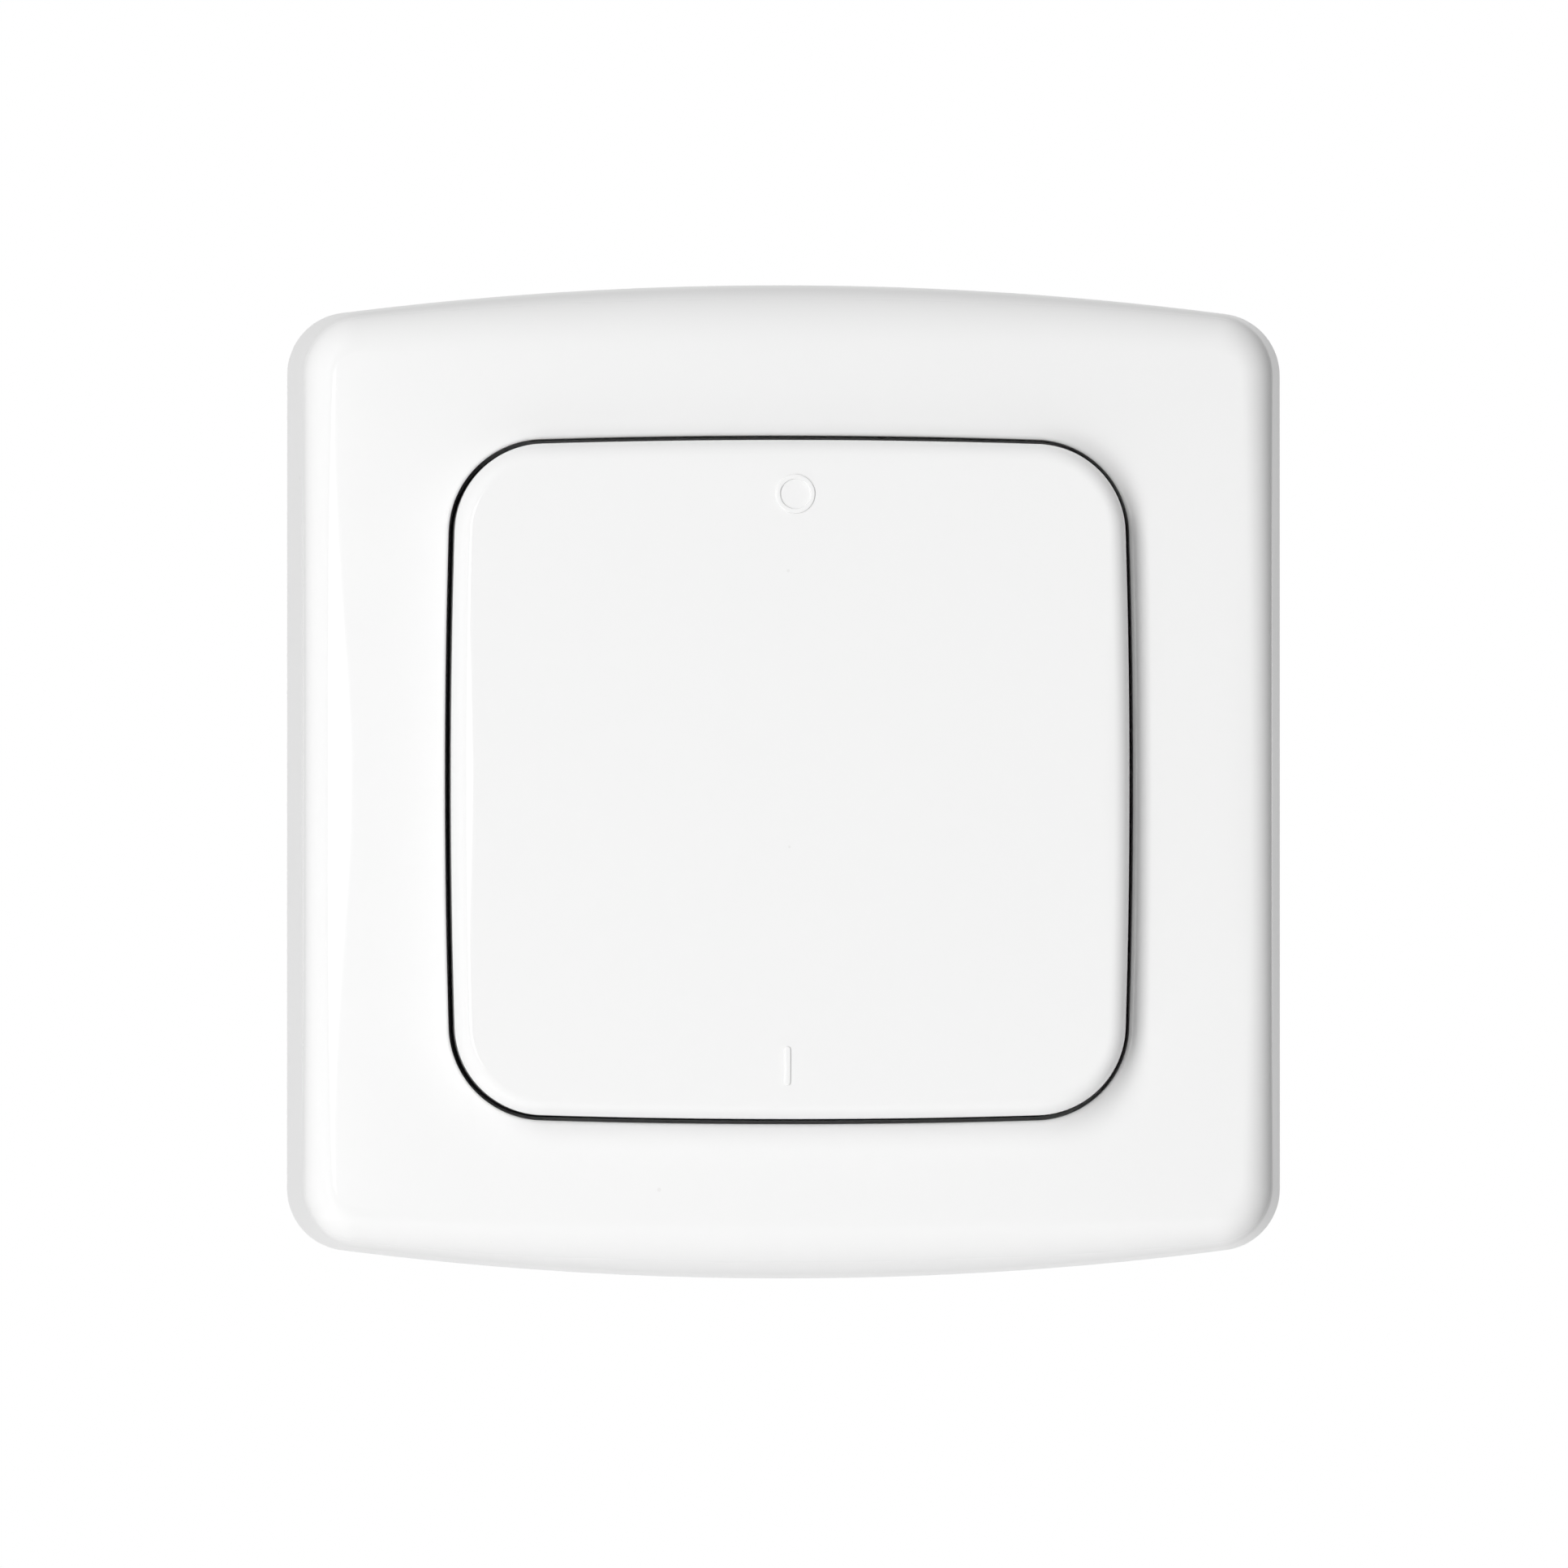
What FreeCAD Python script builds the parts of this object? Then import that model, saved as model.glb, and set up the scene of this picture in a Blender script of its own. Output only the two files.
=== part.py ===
import FreeCAD
import Part
import math
import os

from FreeCAD import Vector

# Wireless remote wall switch: a flat battery transmitter with one rocker in a square cover frame.
# It is modelled lying on its back, with X to the right, Y up the wall and Z out from the wall.
# The finished pieces are then stood up, so that Z is up and the rocker faces -Y.
# The origin is the centre of the wall plate's back face. All lengths are in millimetres.

# Cover frame
FRAME_WIDTH = 80.0
FRAME_HEIGHT = 80.0
FRAME_DEPTH = 11.8  # top of the front dome over the wall
FRAME_CORNER = 5.0
FRAME_END_BOW = 280.0  # radius of the bowed top and bottom edges
FRAME_CROWN = 800.0  # radius of the front dome
FRAME_SIDE_DRAFT_DEG = 7.0
FRAME_END_DRAFT_DEG = 2.5
FRAME_EDGE_ROUND = 3.3
FRAME_WALL = 2.4
FRAME_SKIN = 2.2
COLLAR_WALL = 2.0
LEDGE_THICKNESS = 1.2
LEDGE_CLEARANCE = 0.25  # round the transmitter body
OPENING_EDGE_ROUND = 0.3
FRAME_RIB_THICKNESS = 1.2
FRAME_RIB_SPACING = 30.0
FRAME_RIB_CLEARANCE = 0.6  # over the wall plate's rim

# Rocker
ROCKER_WIDTH = 54.4
ROCKER_HEIGHT = 54.4
ROCKER_CORNER = 7.2
ROCKER_BOW = 650.0  # radius of all four bowed edges
ROCKER_CROWN = 1500.0
ROCKER_PROUD = 3.2  # over the top of the frame's dome
ROCKER_EDGE_ROUND = 1.4
ROCKER_GAP = 0.4  # to the frame's opening
ROCKER_SKIN = 1.8
ROCKER_SKIRT = 1.3
SKIRT_CLEARANCE = 1.0  # over the transmitter's flange
ROCKER_RIB_THICKNESS = 0.9
ROCKER_RIB_HEIGHT = 1.2
ROCKER_RIB_SPACING = 20.0
POST_RADIUS = 1.6
POST_CLEARANCE = 0.05  # over a switch plunger
POST_TIP_ROUND = 0.8
LUG_WIDTH = 6.4
LUG_CLEARANCE = 0.3  # to the transmitter cover
PIVOT_RADIUS = 1.3
PIVOT_CLEARANCE = 0.05
PIVOT_LENGTH = 1.4
PIVOT_END_CLEARANCE = 0.2
PIVOT_SETBACK = 2.0  # below the top of the transmitter cover
MOUTH_DEPTH = 0.9  # from the pivot's axis to the narrowest place of the snap mouth
MOUTH_FLARE = 1.0

# Wall plate
PLATE_THICKNESS = 2.0
PLATE_CORNER = 4.0
PLATE_CLEARANCE = 2.1  # inside the cover frame's walls
PLATE_RIM_WIDTH = 1.2
PLATE_RIM_HEIGHT = 1.5
SEAT_RIB_WIDTH = 1.1
SEAT_RIB_HEIGHT = 1.8
SEAT_RIB_CLEARANCE = 0.3
BOX_SCREW_SPACING = 60.0
SCREW_SLOT_WIDTH = 4.0
SCREW_SLOT_LENGTH = 5.5
SCREW_HEAD_MARGIN = 1.3
SCREW_HEAD_DEPTH = 0.8

# Transmitter base and its snap legs
BASE_FLOOR = 1.2
BASE_WALL = 1.2
BASE_CORNER = 3.0
BASE_SETBACK = 0.8  # inside the transmitter cover
FLANGE_THICKNESS = 1.2
FLANGE_CLEARANCE = 0.3  # inside the frame's opening
STANDOFF_RADIUS = 2.5
STANDOFF_HEIGHT = 1.2
LEG_WIDTH = 5.0
LEG_THICKNESS = 1.4
LEG_SPACING = 22.0
LEG_SETBACK = 1.5  # inside the transmitter base
LEG_CLEARANCE = 0.25
LEG_END_CLEARANCE = 0.3  # to the wall
LEG_FLEX_ROOM = 0.9
BARB_REACH = 0.7
BARB_HEIGHT = 0.7

# Transmitter cover
COVER_HEIGHT = 4.8
COVER_WALL = 1.2
COVER_SKIN = 1.2
COVER_CLEARANCE = 0.7  # inside the rocker's skirt
BATTERY_OPENING_CLEARANCE = 0.4
FINGER_NOTCH_RADIUS = 5.0
PLUNGER_HOLE_CLEARANCE = 0.5

# Screws that hold the transmitter's cover, board and base together
SCREW_RADIUS = 1.0
SCREW_CLEARANCE = 0.2
SCREW_BITE_CLEARANCE = 0.02
SCREW_HEAD_RADIUS = 1.9
SCREW_HEAD_HEIGHT = 1.0
SCREW_HEAD_CLEARANCE = 0.1
SCREW_EDGE_DISTANCE = 3.5  # from the board's edges
SCREW_BITE = 3.2  # length in the cover's boss
BOSS_RADIUS = 2.5
DRIVE_WIDTH = 0.5
DRIVE_LENGTH = 2.2
DRIVE_DEPTH = 0.6

# Circuit board
BOARD_THICKNESS = 1.2
BOARD_CLEARANCE = 0.3
BOARD_CORNER = 1.5
LEAD_CLEARANCE = 0.15
LEAD_STICK_OUT = 0.6

# Tact switches
SWITCH_SPACING = 32.0
SWITCH_SIZE = 6.0
SWITCH_HEIGHT = 5.0  # to the plunger's top, held half in by the rocker
SWITCH_BASE_HEIGHT = 3.2
SWITCH_PLATE = 0.3
SWITCH_EAR_WIDTH = 2.4
SWITCH_EAR_LENGTH = 1.6
SWITCH_CAVITY_RADIUS = 2.35
SWITCH_CAVITY_DEPTH = 1.7
SWITCH_LEAD_PITCH = 4.5
SWITCH_LEAD_WIDTH = 0.7
SWITCH_LEAD_THICKNESS = 0.3
SWITCH_LEAD_LEVEL = 1.0  # top of a lead over the board
PLUNGER_RADIUS = 1.7
PLUNGER_CLEARANCE = 0.1
PLUNGER_FLANGE_RADIUS = 2.15
PLUNGER_FLANGE_THICKNESS = 0.55
PLUNGER_FLANGE_DROP = 0.35  # below the switch's plate, room to rise with the rocker
PLUNGER_NUB_RADIUS = 0.6
DOME_RADIUS = 2.0
DOME_RISE = 0.45
DOME_THICKNESS = 0.1
DOME_CLEARANCE = 0.03

# Coin cell, its holder and contacts
CELL_RADIUS = 10.0
CELL_HEIGHT = 3.2
CELL_CAP_RADIUS = 8.8
CELL_CAP_HEIGHT = 0.3
CELL_EDGE_ROUND = 0.4
HOLDER_CLEARANCE = 0.5
HOLDER_WALL = 1.3
HOLDER_FLOOR = 0.8
HOLDER_WALL_HEIGHT = 3.9  # over the board
HOLDER_HOOK_REACH = 0.6  # over the edge of the cell
HOLDER_HOOK_WIDTH = 4.0
HOLDER_HOOK_THICKNESS = 0.6
HOLDER_HOOK_CLEARANCE = 0.1
HOLDER_HOOK_ANGLE_DEG = 30.0
HOLDER_PEG_RADIUS = 0.7
HOLDER_PEG_SPACING = 15.0
CONTACT_THICKNESS = 0.25
CONTACT_WIDTH = 3.6
CONTACT_RISE = 0.45  # of the lower contact, over the holder's floor
CONTACT_CLEARANCE = 0.03
CONTACT_WINDOW_CLEARANCE = 0.4
CONTACT_FOOT = 2.0

# Radio parts on the board
CHIP_LENGTH = 8.6
CHIP_WIDTH = 3.9
CHIP_HEIGHT = 1.4
CHIP_STANDOFF = 0.1
CHIP_LEAD_PITCH = 1.27
CHIP_LEADS_PER_SIDE = 7
CHIP_LEAD_WIDTH = 0.4
CHIP_LEAD_THICKNESS = 0.2
CHIP_LEAD_REACH = 1.05
CHIP_EDGE_DISTANCE = 6.0  # from the board's left edge to the middle of the chip
CHIP_RAISE = 7.5  # above the middle of the board
RESONATOR_SIZE = 5.0
RESONATOR_HEIGHT = 1.5
RESONATOR_LID_INSET = 0.4
RESONATOR_LID_HEIGHT = 0.5
RESONATOR_LOWER = 7.0  # below the middle of the board
TRANSISTOR_LENGTH = 2.9
TRANSISTOR_WIDTH = 1.3
TRANSISTOR_HEIGHT = 1.0
TRANSISTOR_LEAD_WIDTH = 0.4
TRANSISTOR_LEAD_REACH = 0.6
TRANSISTOR_LOWER = 13.0
PASSIVE_LENGTH = 2.0
PASSIVE_WIDTH = 1.25
RESISTOR_HEIGHT = 0.5
CAPACITOR_HEIGHT = 0.9
PASSIVE_COUNT = 4
PASSIVE_CLEARANCE = 1.2  # of a row, to the switch beside it and to the screw boss
PASSIVE_ROW_REACH = 17.5  # of both rows, above and below the middle
ANTENNA_RADIUS = 0.45
ANTENNA_SPAN = 26.0
ANTENNA_HEIGHT = 2.4  # of the wire's middle over the board
ANTENNA_BEND = 1.2
ANTENNA_EDGE_DISTANCE = 4.0

# Levels over the wall
seat_level = PLATE_THICKNESS + SEAT_RIB_HEIGHT
flange_bottom = seat_level + LEDGE_THICKNESS
flange_top = flange_bottom + FLANGE_THICKNESS
floor_top = PLATE_THICKNESS + BASE_FLOOR
board_bottom = floor_top + STANDOFF_HEIGHT
board_top = board_bottom + BOARD_THICKNESS
lead_end = board_bottom - LEAD_STICK_OUT
cover_top = flange_top + COVER_HEIGHT
cover_ceiling = cover_top - COVER_SKIN
pivot_level = cover_top - PIVOT_SETBACK
skirt_bottom = flange_top + SKIRT_CLEARANCE
rocker_face = FRAME_DEPTH + ROCKER_PROUD
rocker_ceiling = rocker_face - ROCKER_SKIN
plunger_top = board_top + SWITCH_HEIGHT
switch_plate_bottom = board_top + SWITCH_BASE_HEIGHT
switch_plate_top = switch_plate_bottom + SWITCH_PLATE
switch_cavity_floor = switch_plate_bottom - SWITCH_CAVITY_DEPTH
holder_floor_top = board_top + HOLDER_FLOOR
cell_bottom = holder_floor_top + CONTACT_RISE + CONTACT_CLEARANCE
cell_top = cell_bottom + CELL_HEIGHT

# Sizes that follow from the driving ones
cover_width = ROCKER_WIDTH - 2 * (ROCKER_SKIRT + COVER_CLEARANCE)
cover_length = ROCKER_HEIGHT - 2 * (ROCKER_SKIRT + COVER_CLEARANCE)
base_width = cover_width - 2 * BASE_SETBACK
base_length = cover_length - 2 * BASE_SETBACK
board_width = base_width - 2 * (BASE_WALL + BOARD_CLEARANCE)
board_length = base_length - 2 * (BASE_WALL + BOARD_CLEARANCE)
plate_width = FRAME_WIDTH - 2 * (FRAME_WALL + PLATE_CLEARANCE)
plate_length = FRAME_HEIGHT - 2 * (FRAME_WALL + PLATE_CLEARANCE)
holder_radius = CELL_RADIUS + HOLDER_CLEARANCE + HOLDER_WALL
screw_x = board_width / 2 - SCREW_EDGE_DISTANCE
screw_y = board_length / 2 - SCREW_EDGE_DISTANCE
screw_end = board_top + SCREW_BITE
leg_outside = base_width / 2 - LEG_SETBACK
switch_y = SWITCH_SPACING / 2

# How far a cutting tool runs past the face that it cuts
OVERRUN = 1.0
# Rounds in which a bowed outline's corner centre settles, and the area under which three points are in line
CORNER_ROUNDS = 12
IN_LINE = 1e-9


def reach_along(half, bow, corner, across):
    """How far out a corner arc's centre lies along one axis, when it lies across from the other axis."""
    if bow is None:
        return half - corner
    return half - bow + math.sqrt((bow - corner) ** 2 - across**2)


def touch_point(centre, half, bow, corner):
    """Where a corner arc leaves the edge that bows about the first axis: (along, across)."""
    along, across = centre
    if bow is None:
        return half, across
    grow = bow / (bow - corner)
    return half - bow + (along - half + bow) * grow, across * grow


def edge_through(start, middle, end):
    """A straight edge where the three points are in line, or else an arc."""
    if (middle - start).cross(end - middle).Length < IN_LINE:
        return Part.LineSegment(start, end).toShape()
    return Part.Arc(start, middle, end).toShape()


def outline(width, height, corner, level, side_bow=None, end_bow=None):
    """A closed rounded rectangle whose sides and ends may bow outwards."""
    half_w, half_h = width / 2, height / 2
    x = half_w - corner
    for _ in range(CORNER_ROUNDS):
        y = reach_along(half_h, end_bow, corner, x)
        x = reach_along(half_w, side_bow, corner, y)
    side_x, side_y = touch_point((x, y), half_w, side_bow, corner)
    end_y, end_x = touch_point((y, x), half_h, end_bow, corner)
    turn = Vector(side_x + end_x - 2 * x, side_y + end_y - 2 * y, 0).normalize() * corner
    corner_x, corner_y = x + turn.x, y + turn.y
    edges = []
    for sx, sy in ((1, 1), (-1, 1), (-1, -1), (1, -1)):
        side = Vector(sx * side_x, sy * side_y, level)
        end = Vector(sx * end_x, sy * end_y, level)
        middle = Vector(sx * corner_x, sy * corner_y, level)
        if sx * sy > 0:
            across = Vector(-sx * end_x, sy * end_y, level)
            edges.append(edge_through(side, middle, end))
            edges.append(edge_through(end, Vector(0, sy * half_h, level), across))
        else:
            across = Vector(sx * side_x, -sy * side_y, level)
            edges.append(edge_through(end, middle, side))
            edges.append(edge_through(side, Vector(sx * half_w, 0, level), across))
    return Part.Wire(edges)


def slab(wire, height):
    """The solid between a closed flat wire and its copy at that height over it."""
    return Part.Face(wire).extrude(Vector(0, 0, height))


def base_block(grow, low, high):
    """A straight block with the transmitter base's outline, let out by grow."""
    wire = outline(base_width + 2 * grow, base_length + 2 * grow, BASE_CORNER + grow, low)
    return slab(wire, high - low)


def rocker_block(inset, low, high):
    """A straight block with the rocker's bowed outline, drawn in by inset."""
    wire = outline(
        ROCKER_WIDTH - 2 * inset,
        ROCKER_HEIGHT - 2 * inset,
        ROCKER_CORNER - inset,
        low,
        ROCKER_BOW - inset,
        ROCKER_BOW - inset,
    )
    return slab(wire, high - low)


def box(x, y, z):
    """A box between the two values given for each axis."""
    size = (x[1] - x[0], y[1] - y[0], z[1] - z[0])
    return Part.makeBox(*size, Vector(x[0], y[0], z[0]))


def centred_box(width, height, x, y, low, high):
    return box((x - width / 2, x + width / 2), (y - height / 2, y + height / 2), (low, high))


def rod(radius, x, y, low, high):
    """A round bar along Z."""
    return Part.makeCylinder(radius, high - low, Vector(x, y, low))


def joined(first, *others):
    return first.multiFuse(list(others)).removeSplitter()


def cut_away(shape, *tools):
    return shape.cut(list(tools)).removeSplitter()


def corners(x, y):
    """The four points at that distance from the middle, mirrored left to right and top to bottom."""
    return [(sx * x, sy * y) for sx in (1, -1) for sy in (1, -1)]


def strip(points, width, x=0.0, y=0.0):
    """Sheet of that width, cut from a profile of (x, z) points and centred on y."""
    path = [Vector(x + px, y - width / 2, pz) for px, pz in points]
    face = Part.Face(Part.makePolygon(path + path[:1]))
    return face.extrude(Vector(0, width, 0))


def domed_front(block, crown, level, edge_round):
    """The block cut off by a wide dome, with the dome's edge rounded over."""
    centre = Vector(0, 0, level - crown)
    dome = Part.makeSphere(crown, centre, Vector(0, 1, 0))
    # The sphere's seam is turned to the back, so that the front stays one face.
    cut = block.common(dome.rotated(centre, Vector(0, 1, 0), 180))
    front = [face for face in cut.Faces if isinstance(face.Surface, Part.Sphere)]
    return cut.makeFillet(edge_round, front[0].OuterWire.Edges)


def frame_block(inset, low, crown_level, edge_round):
    """The cover frame's outer form drawn in by inset: drafted walls under a slightly domed front."""
    high = FRAME_DEPTH + OVERRUN
    side_lean = math.tan(math.radians(FRAME_SIDE_DRAFT_DEG))
    end_lean = math.tan(math.radians(FRAME_END_DRAFT_DEG))
    wires = []
    for level in (low, high):
        wires.append(
            outline(
                FRAME_WIDTH - 2 * (inset + side_lean * level),
                FRAME_HEIGHT - 2 * (inset + end_lean * level),
                FRAME_CORNER - inset,
                level,
                None,
                FRAME_END_BOW - inset,
            )
        )
    block = Part.makeLoft(wires, True, True)
    return domed_front(block, FRAME_CROWN, crown_level, edge_round)


def frame_ribs():
    """Two stiffening ribs on each side, between the collar and the outer wall."""
    low = PLATE_THICKNESS + PLATE_RIM_HEIGHT + FRAME_RIB_CLEARANCE
    ribs = []
    for side in (-1, 1):
        place = side * FRAME_RIB_SPACING / 2
        ribs.append(centred_box(FRAME_RIB_THICKNESS, FRAME_HEIGHT, place, 0, low, FRAME_DEPTH))
        ribs.append(centred_box(FRAME_WIDTH, FRAME_RIB_THICKNESS, 0, place, low, FRAME_DEPTH))
    return ribs


def cover_frame():
    """The visible square frame: a moulded shell with a collar and a ledge round the rocker's opening."""
    outer = frame_block(0, 0, FRAME_DEPTH, FRAME_EDGE_ROUND)
    inner_round = FRAME_EDGE_ROUND - FRAME_SKIN
    inner = frame_block(FRAME_WALL, -OVERRUN, FRAME_DEPTH - FRAME_SKIN, inner_round)
    collar = rocker_block(-ROCKER_GAP - COLLAR_WALL, seat_level, FRAME_DEPTH)
    hollow = inner.cut([collar] + frame_ribs())
    opening = rocker_block(-ROCKER_GAP, flange_bottom, FRAME_DEPTH + OVERRUN)
    aperture = base_block(LEDGE_CLEARANCE, seat_level - OVERRUN, flange_bottom + OVERRUN)
    frame = cut_away(outer, hollow, opening, aperture)
    front = [face for face in frame.Faces if isinstance(face.Surface, Part.Sphere)]
    front = max(front, key=lambda face: face.BoundBox.ZMax)
    lip = [wire for wire in front.Wires if not wire.isSame(front.OuterWire)]
    return frame.makeFillet(OPENING_EDGE_ROUND, lip[0].Edges)


def screw_slot(x, y, width, length, low, high):
    """A round-ended slot that runs away from the middle of the wall plate."""
    radius = width / 2
    reach = length / 2 - radius
    low_left = Vector(-reach, -radius, low)
    low_right = Vector(reach, -radius, low)
    high_left = Vector(-reach, radius, low)
    high_right = Vector(reach, radius, low)
    wire = Part.Wire(
        [
            Part.LineSegment(low_left, low_right).toShape(),
            Part.Arc(low_right, Vector(reach + radius, 0, low), high_right).toShape(),
            Part.LineSegment(high_right, high_left).toShape(),
            Part.Arc(high_left, Vector(-reach - radius, 0, low), low_left).toShape(),
        ]
    )
    turn = math.degrees(math.atan2(y, x))
    slot = slab(wire, high - low).rotated(Vector(0, 0, 0), Vector(0, 0, 1), turn)
    return slot.translated(Vector(x, y, 0))


def leg_window(side, y):
    """The hole in the wall plate for one snap leg, with a step at the back that its barb hooks behind."""
    outside = leg_outside + LEG_CLEARANCE
    inside = leg_outside - LEG_THICKNESS - LEG_FLEX_ROOM
    half = LEG_WIDTH / 2 + LEG_CLEARANCE
    step = LEG_END_CLEARANCE + BARB_HEIGHT + LEG_CLEARANCE / 2
    spans = ((outside, PLATE_THICKNESS + OVERRUN), (outside + BARB_REACH, step))
    holes = []
    for reach, top in spans:
        across = sorted((side * inside, side * reach))
        holes.append(box(across, (y - half, y + half), (-OVERRUN, top)))
    return joined(*holes)


def plate_block(inset, low, high):
    """A straight block with the wall plate's outline, which follows the frame's, drawn in by inset."""
    wire = outline(
        plate_width - 2 * inset,
        plate_length - 2 * inset,
        PLATE_CORNER - inset,
        low,
        None,
        FRAME_END_BOW - FRAME_WALL - PLATE_CLEARANCE - inset,
    )
    return slab(wire, high - low)


def wall_plate():
    """The plate that is screwed or stuck to the wall, and carries the frame's ledge and the transmitter."""
    rim_top = PLATE_THICKNESS + PLATE_RIM_HEIGHT
    plate = plate_block(0, 0, PLATE_THICKNESS)
    rim = plate_block(0, 0, rim_top).cut(plate_block(PLATE_RIM_WIDTH, -OVERRUN, rim_top + OVERRUN))
    seat_inside = SEAT_RIB_CLEARANCE
    seat_outside = SEAT_RIB_CLEARANCE + SEAT_RIB_WIDTH
    seat = base_block(seat_outside, 0, seat_level)
    seat = seat.cut(base_block(seat_inside, -OVERRUN, seat_level + OVERRUN))
    tools = []
    reach = BOX_SCREW_SPACING / 2
    head_low = PLATE_THICKNESS - SCREW_HEAD_DEPTH
    head_width = SCREW_SLOT_WIDTH + 2 * SCREW_HEAD_MARGIN
    head_length = SCREW_SLOT_LENGTH + 2 * SCREW_HEAD_MARGIN
    past = PLATE_THICKNESS + OVERRUN
    for x, y in ((reach, 0), (-reach, 0), (0, reach), (0, -reach)):
        tools.append(screw_slot(x, y, SCREW_SLOT_WIDTH, SCREW_SLOT_LENGTH, -OVERRUN, past))
        tools.append(screw_slot(x, y, head_width, head_length, head_low, past))
    for side in (-1, 1):
        for y in (-LEG_SPACING / 2, LEG_SPACING / 2):
            tools.append(leg_window(side, y))
    return cut_away(joined(plate, rim, seat), *tools)


def snap_leg(side, y):
    """A springy leg under the transmitter base, with a barb that hooks behind the wall plate's step."""
    inside = leg_outside - LEG_THICKNESS
    low = LEG_END_CLEARANCE
    profile = [
        (inside, floor_top),
        (inside, low),
        (leg_outside, low),
        (leg_outside + BARB_REACH, low + BARB_HEIGHT),
        (leg_outside, low + BARB_HEIGHT),
        (leg_outside, floor_top),
    ]
    return strip([(side * x, z) for x, z in profile], LEG_WIDTH, 0, y)


def transmitter_base():
    """The tray under the circuit board: its flange clamps the frame's ledge to the wall plate."""
    body = base_block(0, PLATE_THICKNESS, flange_top)
    flange = rocker_block(FLANGE_CLEARANCE - ROCKER_GAP, flange_bottom, flange_top)
    cavity = base_block(-BASE_WALL, floor_top, flange_top + OVERRUN)
    tray = cut_away(joined(body, flange), cavity)
    adds = [rod(STANDOFF_RADIUS, x, y, PLATE_THICKNESS, board_bottom) for x, y in corners(screw_x, screw_y)]
    adds += [snap_leg(side, y) for side in (-1, 1) for y in (-LEG_SPACING / 2, LEG_SPACING / 2)]
    holes = []
    head_top = PLATE_THICKNESS + SCREW_HEAD_HEIGHT + SCREW_HEAD_CLEARANCE
    for x, y in corners(screw_x, screw_y):
        holes.append(rod(SCREW_RADIUS + SCREW_CLEARANCE, x, y, PLATE_THICKNESS, board_bottom + OVERRUN))
        holes.append(rod(SCREW_HEAD_RADIUS + SCREW_CLEARANCE, x, y, PLATE_THICKNESS - OVERRUN, head_top))
    return cut_away(joined(tray, *adds), *holes)


def transmitter_cover():
    """The lid over the circuit board, with the rocker's two pivots and an opening for the coin cell."""
    inset = ROCKER_SKIRT + COVER_CLEARANCE
    outer = rocker_block(inset, flange_top, cover_top)
    inner = rocker_block(inset + COVER_WALL, flange_top - OVERRUN, cover_ceiling)
    lid = cut_away(outer, inner)
    adds = [rod(BOSS_RADIUS, x, y, board_top, cover_top) for x, y in corners(screw_x, screw_y)]
    for side in (-1, 1):
        root = Vector(side * (cover_width / 2 - COVER_WALL / 2), 0, pivot_level)
        length = PIVOT_LENGTH + COVER_WALL / 2
        adds.append(Part.makeCylinder(PIVOT_RADIUS, length, root, Vector(side, 0, 0)))
    top = cover_top + OVERRUN
    opening_radius = holder_radius + BATTERY_OPENING_CLEARANCE
    tools = [rod(opening_radius, 0, 0, cover_ceiling - OVERRUN, top)]
    notch = Vector(-opening_radius, 0, cover_ceiling - OVERRUN)
    tools.append(Part.makeCylinder(FINGER_NOTCH_RADIUS, COVER_SKIN + 2 * OVERRUN, notch))
    for y in (switch_y, -switch_y):
        tools.append(rod(POST_RADIUS + PLUNGER_HOLE_CLEARANCE, 0, y, cover_ceiling - OVERRUN, top))
    pilot_radius = SCREW_RADIUS + SCREW_BITE_CLEARANCE
    pilot_end = screw_end + SCREW_CLEARANCE
    for x, y in corners(screw_x, screw_y):
        tools.append(rod(pilot_radius, x, y, board_top - OVERRUN, pilot_end))
    return cut_away(joined(lid, *adds), *tools)


def rocker_post(y):
    """A round post under the rocker's face that presses one switch."""
    tip = plunger_top + POST_CLEARANCE
    post = rod(POST_RADIUS, 0, y, tip, rocker_ceiling)
    edge = min(post.Edges, key=lambda e: e.CenterOfMass.z)
    return post.makeFillet(POST_TIP_ROUND, [edge])


def pivot_socket(side):
    """The blind bore and flared mouth in one rocker lug, which snap over a pivot of the cover."""
    inside = cover_width / 2
    outside = inside + PIVOT_LENGTH + PIVOT_END_CLEARANCE
    radius = PIVOT_RADIUS + PIVOT_CLEARANCE
    start = Vector(side * inside, 0, pivot_level)
    bore = Part.makeCylinder(radius, outside - inside, start, Vector(side, 0, 0))
    throat = math.sqrt(radius**2 - MOUTH_DEPTH**2)
    neck = pivot_level - MOUTH_DEPTH
    foot = skirt_bottom - OVERRUN
    points = [
        Vector(0, -throat, pivot_level),
        Vector(0, -throat, neck),
        Vector(0, -throat - MOUTH_FLARE, foot),
        Vector(0, throat + MOUTH_FLARE, foot),
        Vector(0, throat, neck),
        Vector(0, throat, pivot_level),
    ]
    mouth = Part.Face(Part.makePolygon(points + points[:1]))
    mouth = mouth.extrude(Vector(side * (outside - inside), 0, 0))
    return joined(bore, mouth.translated(Vector(side * inside, 0, 0)))


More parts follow.
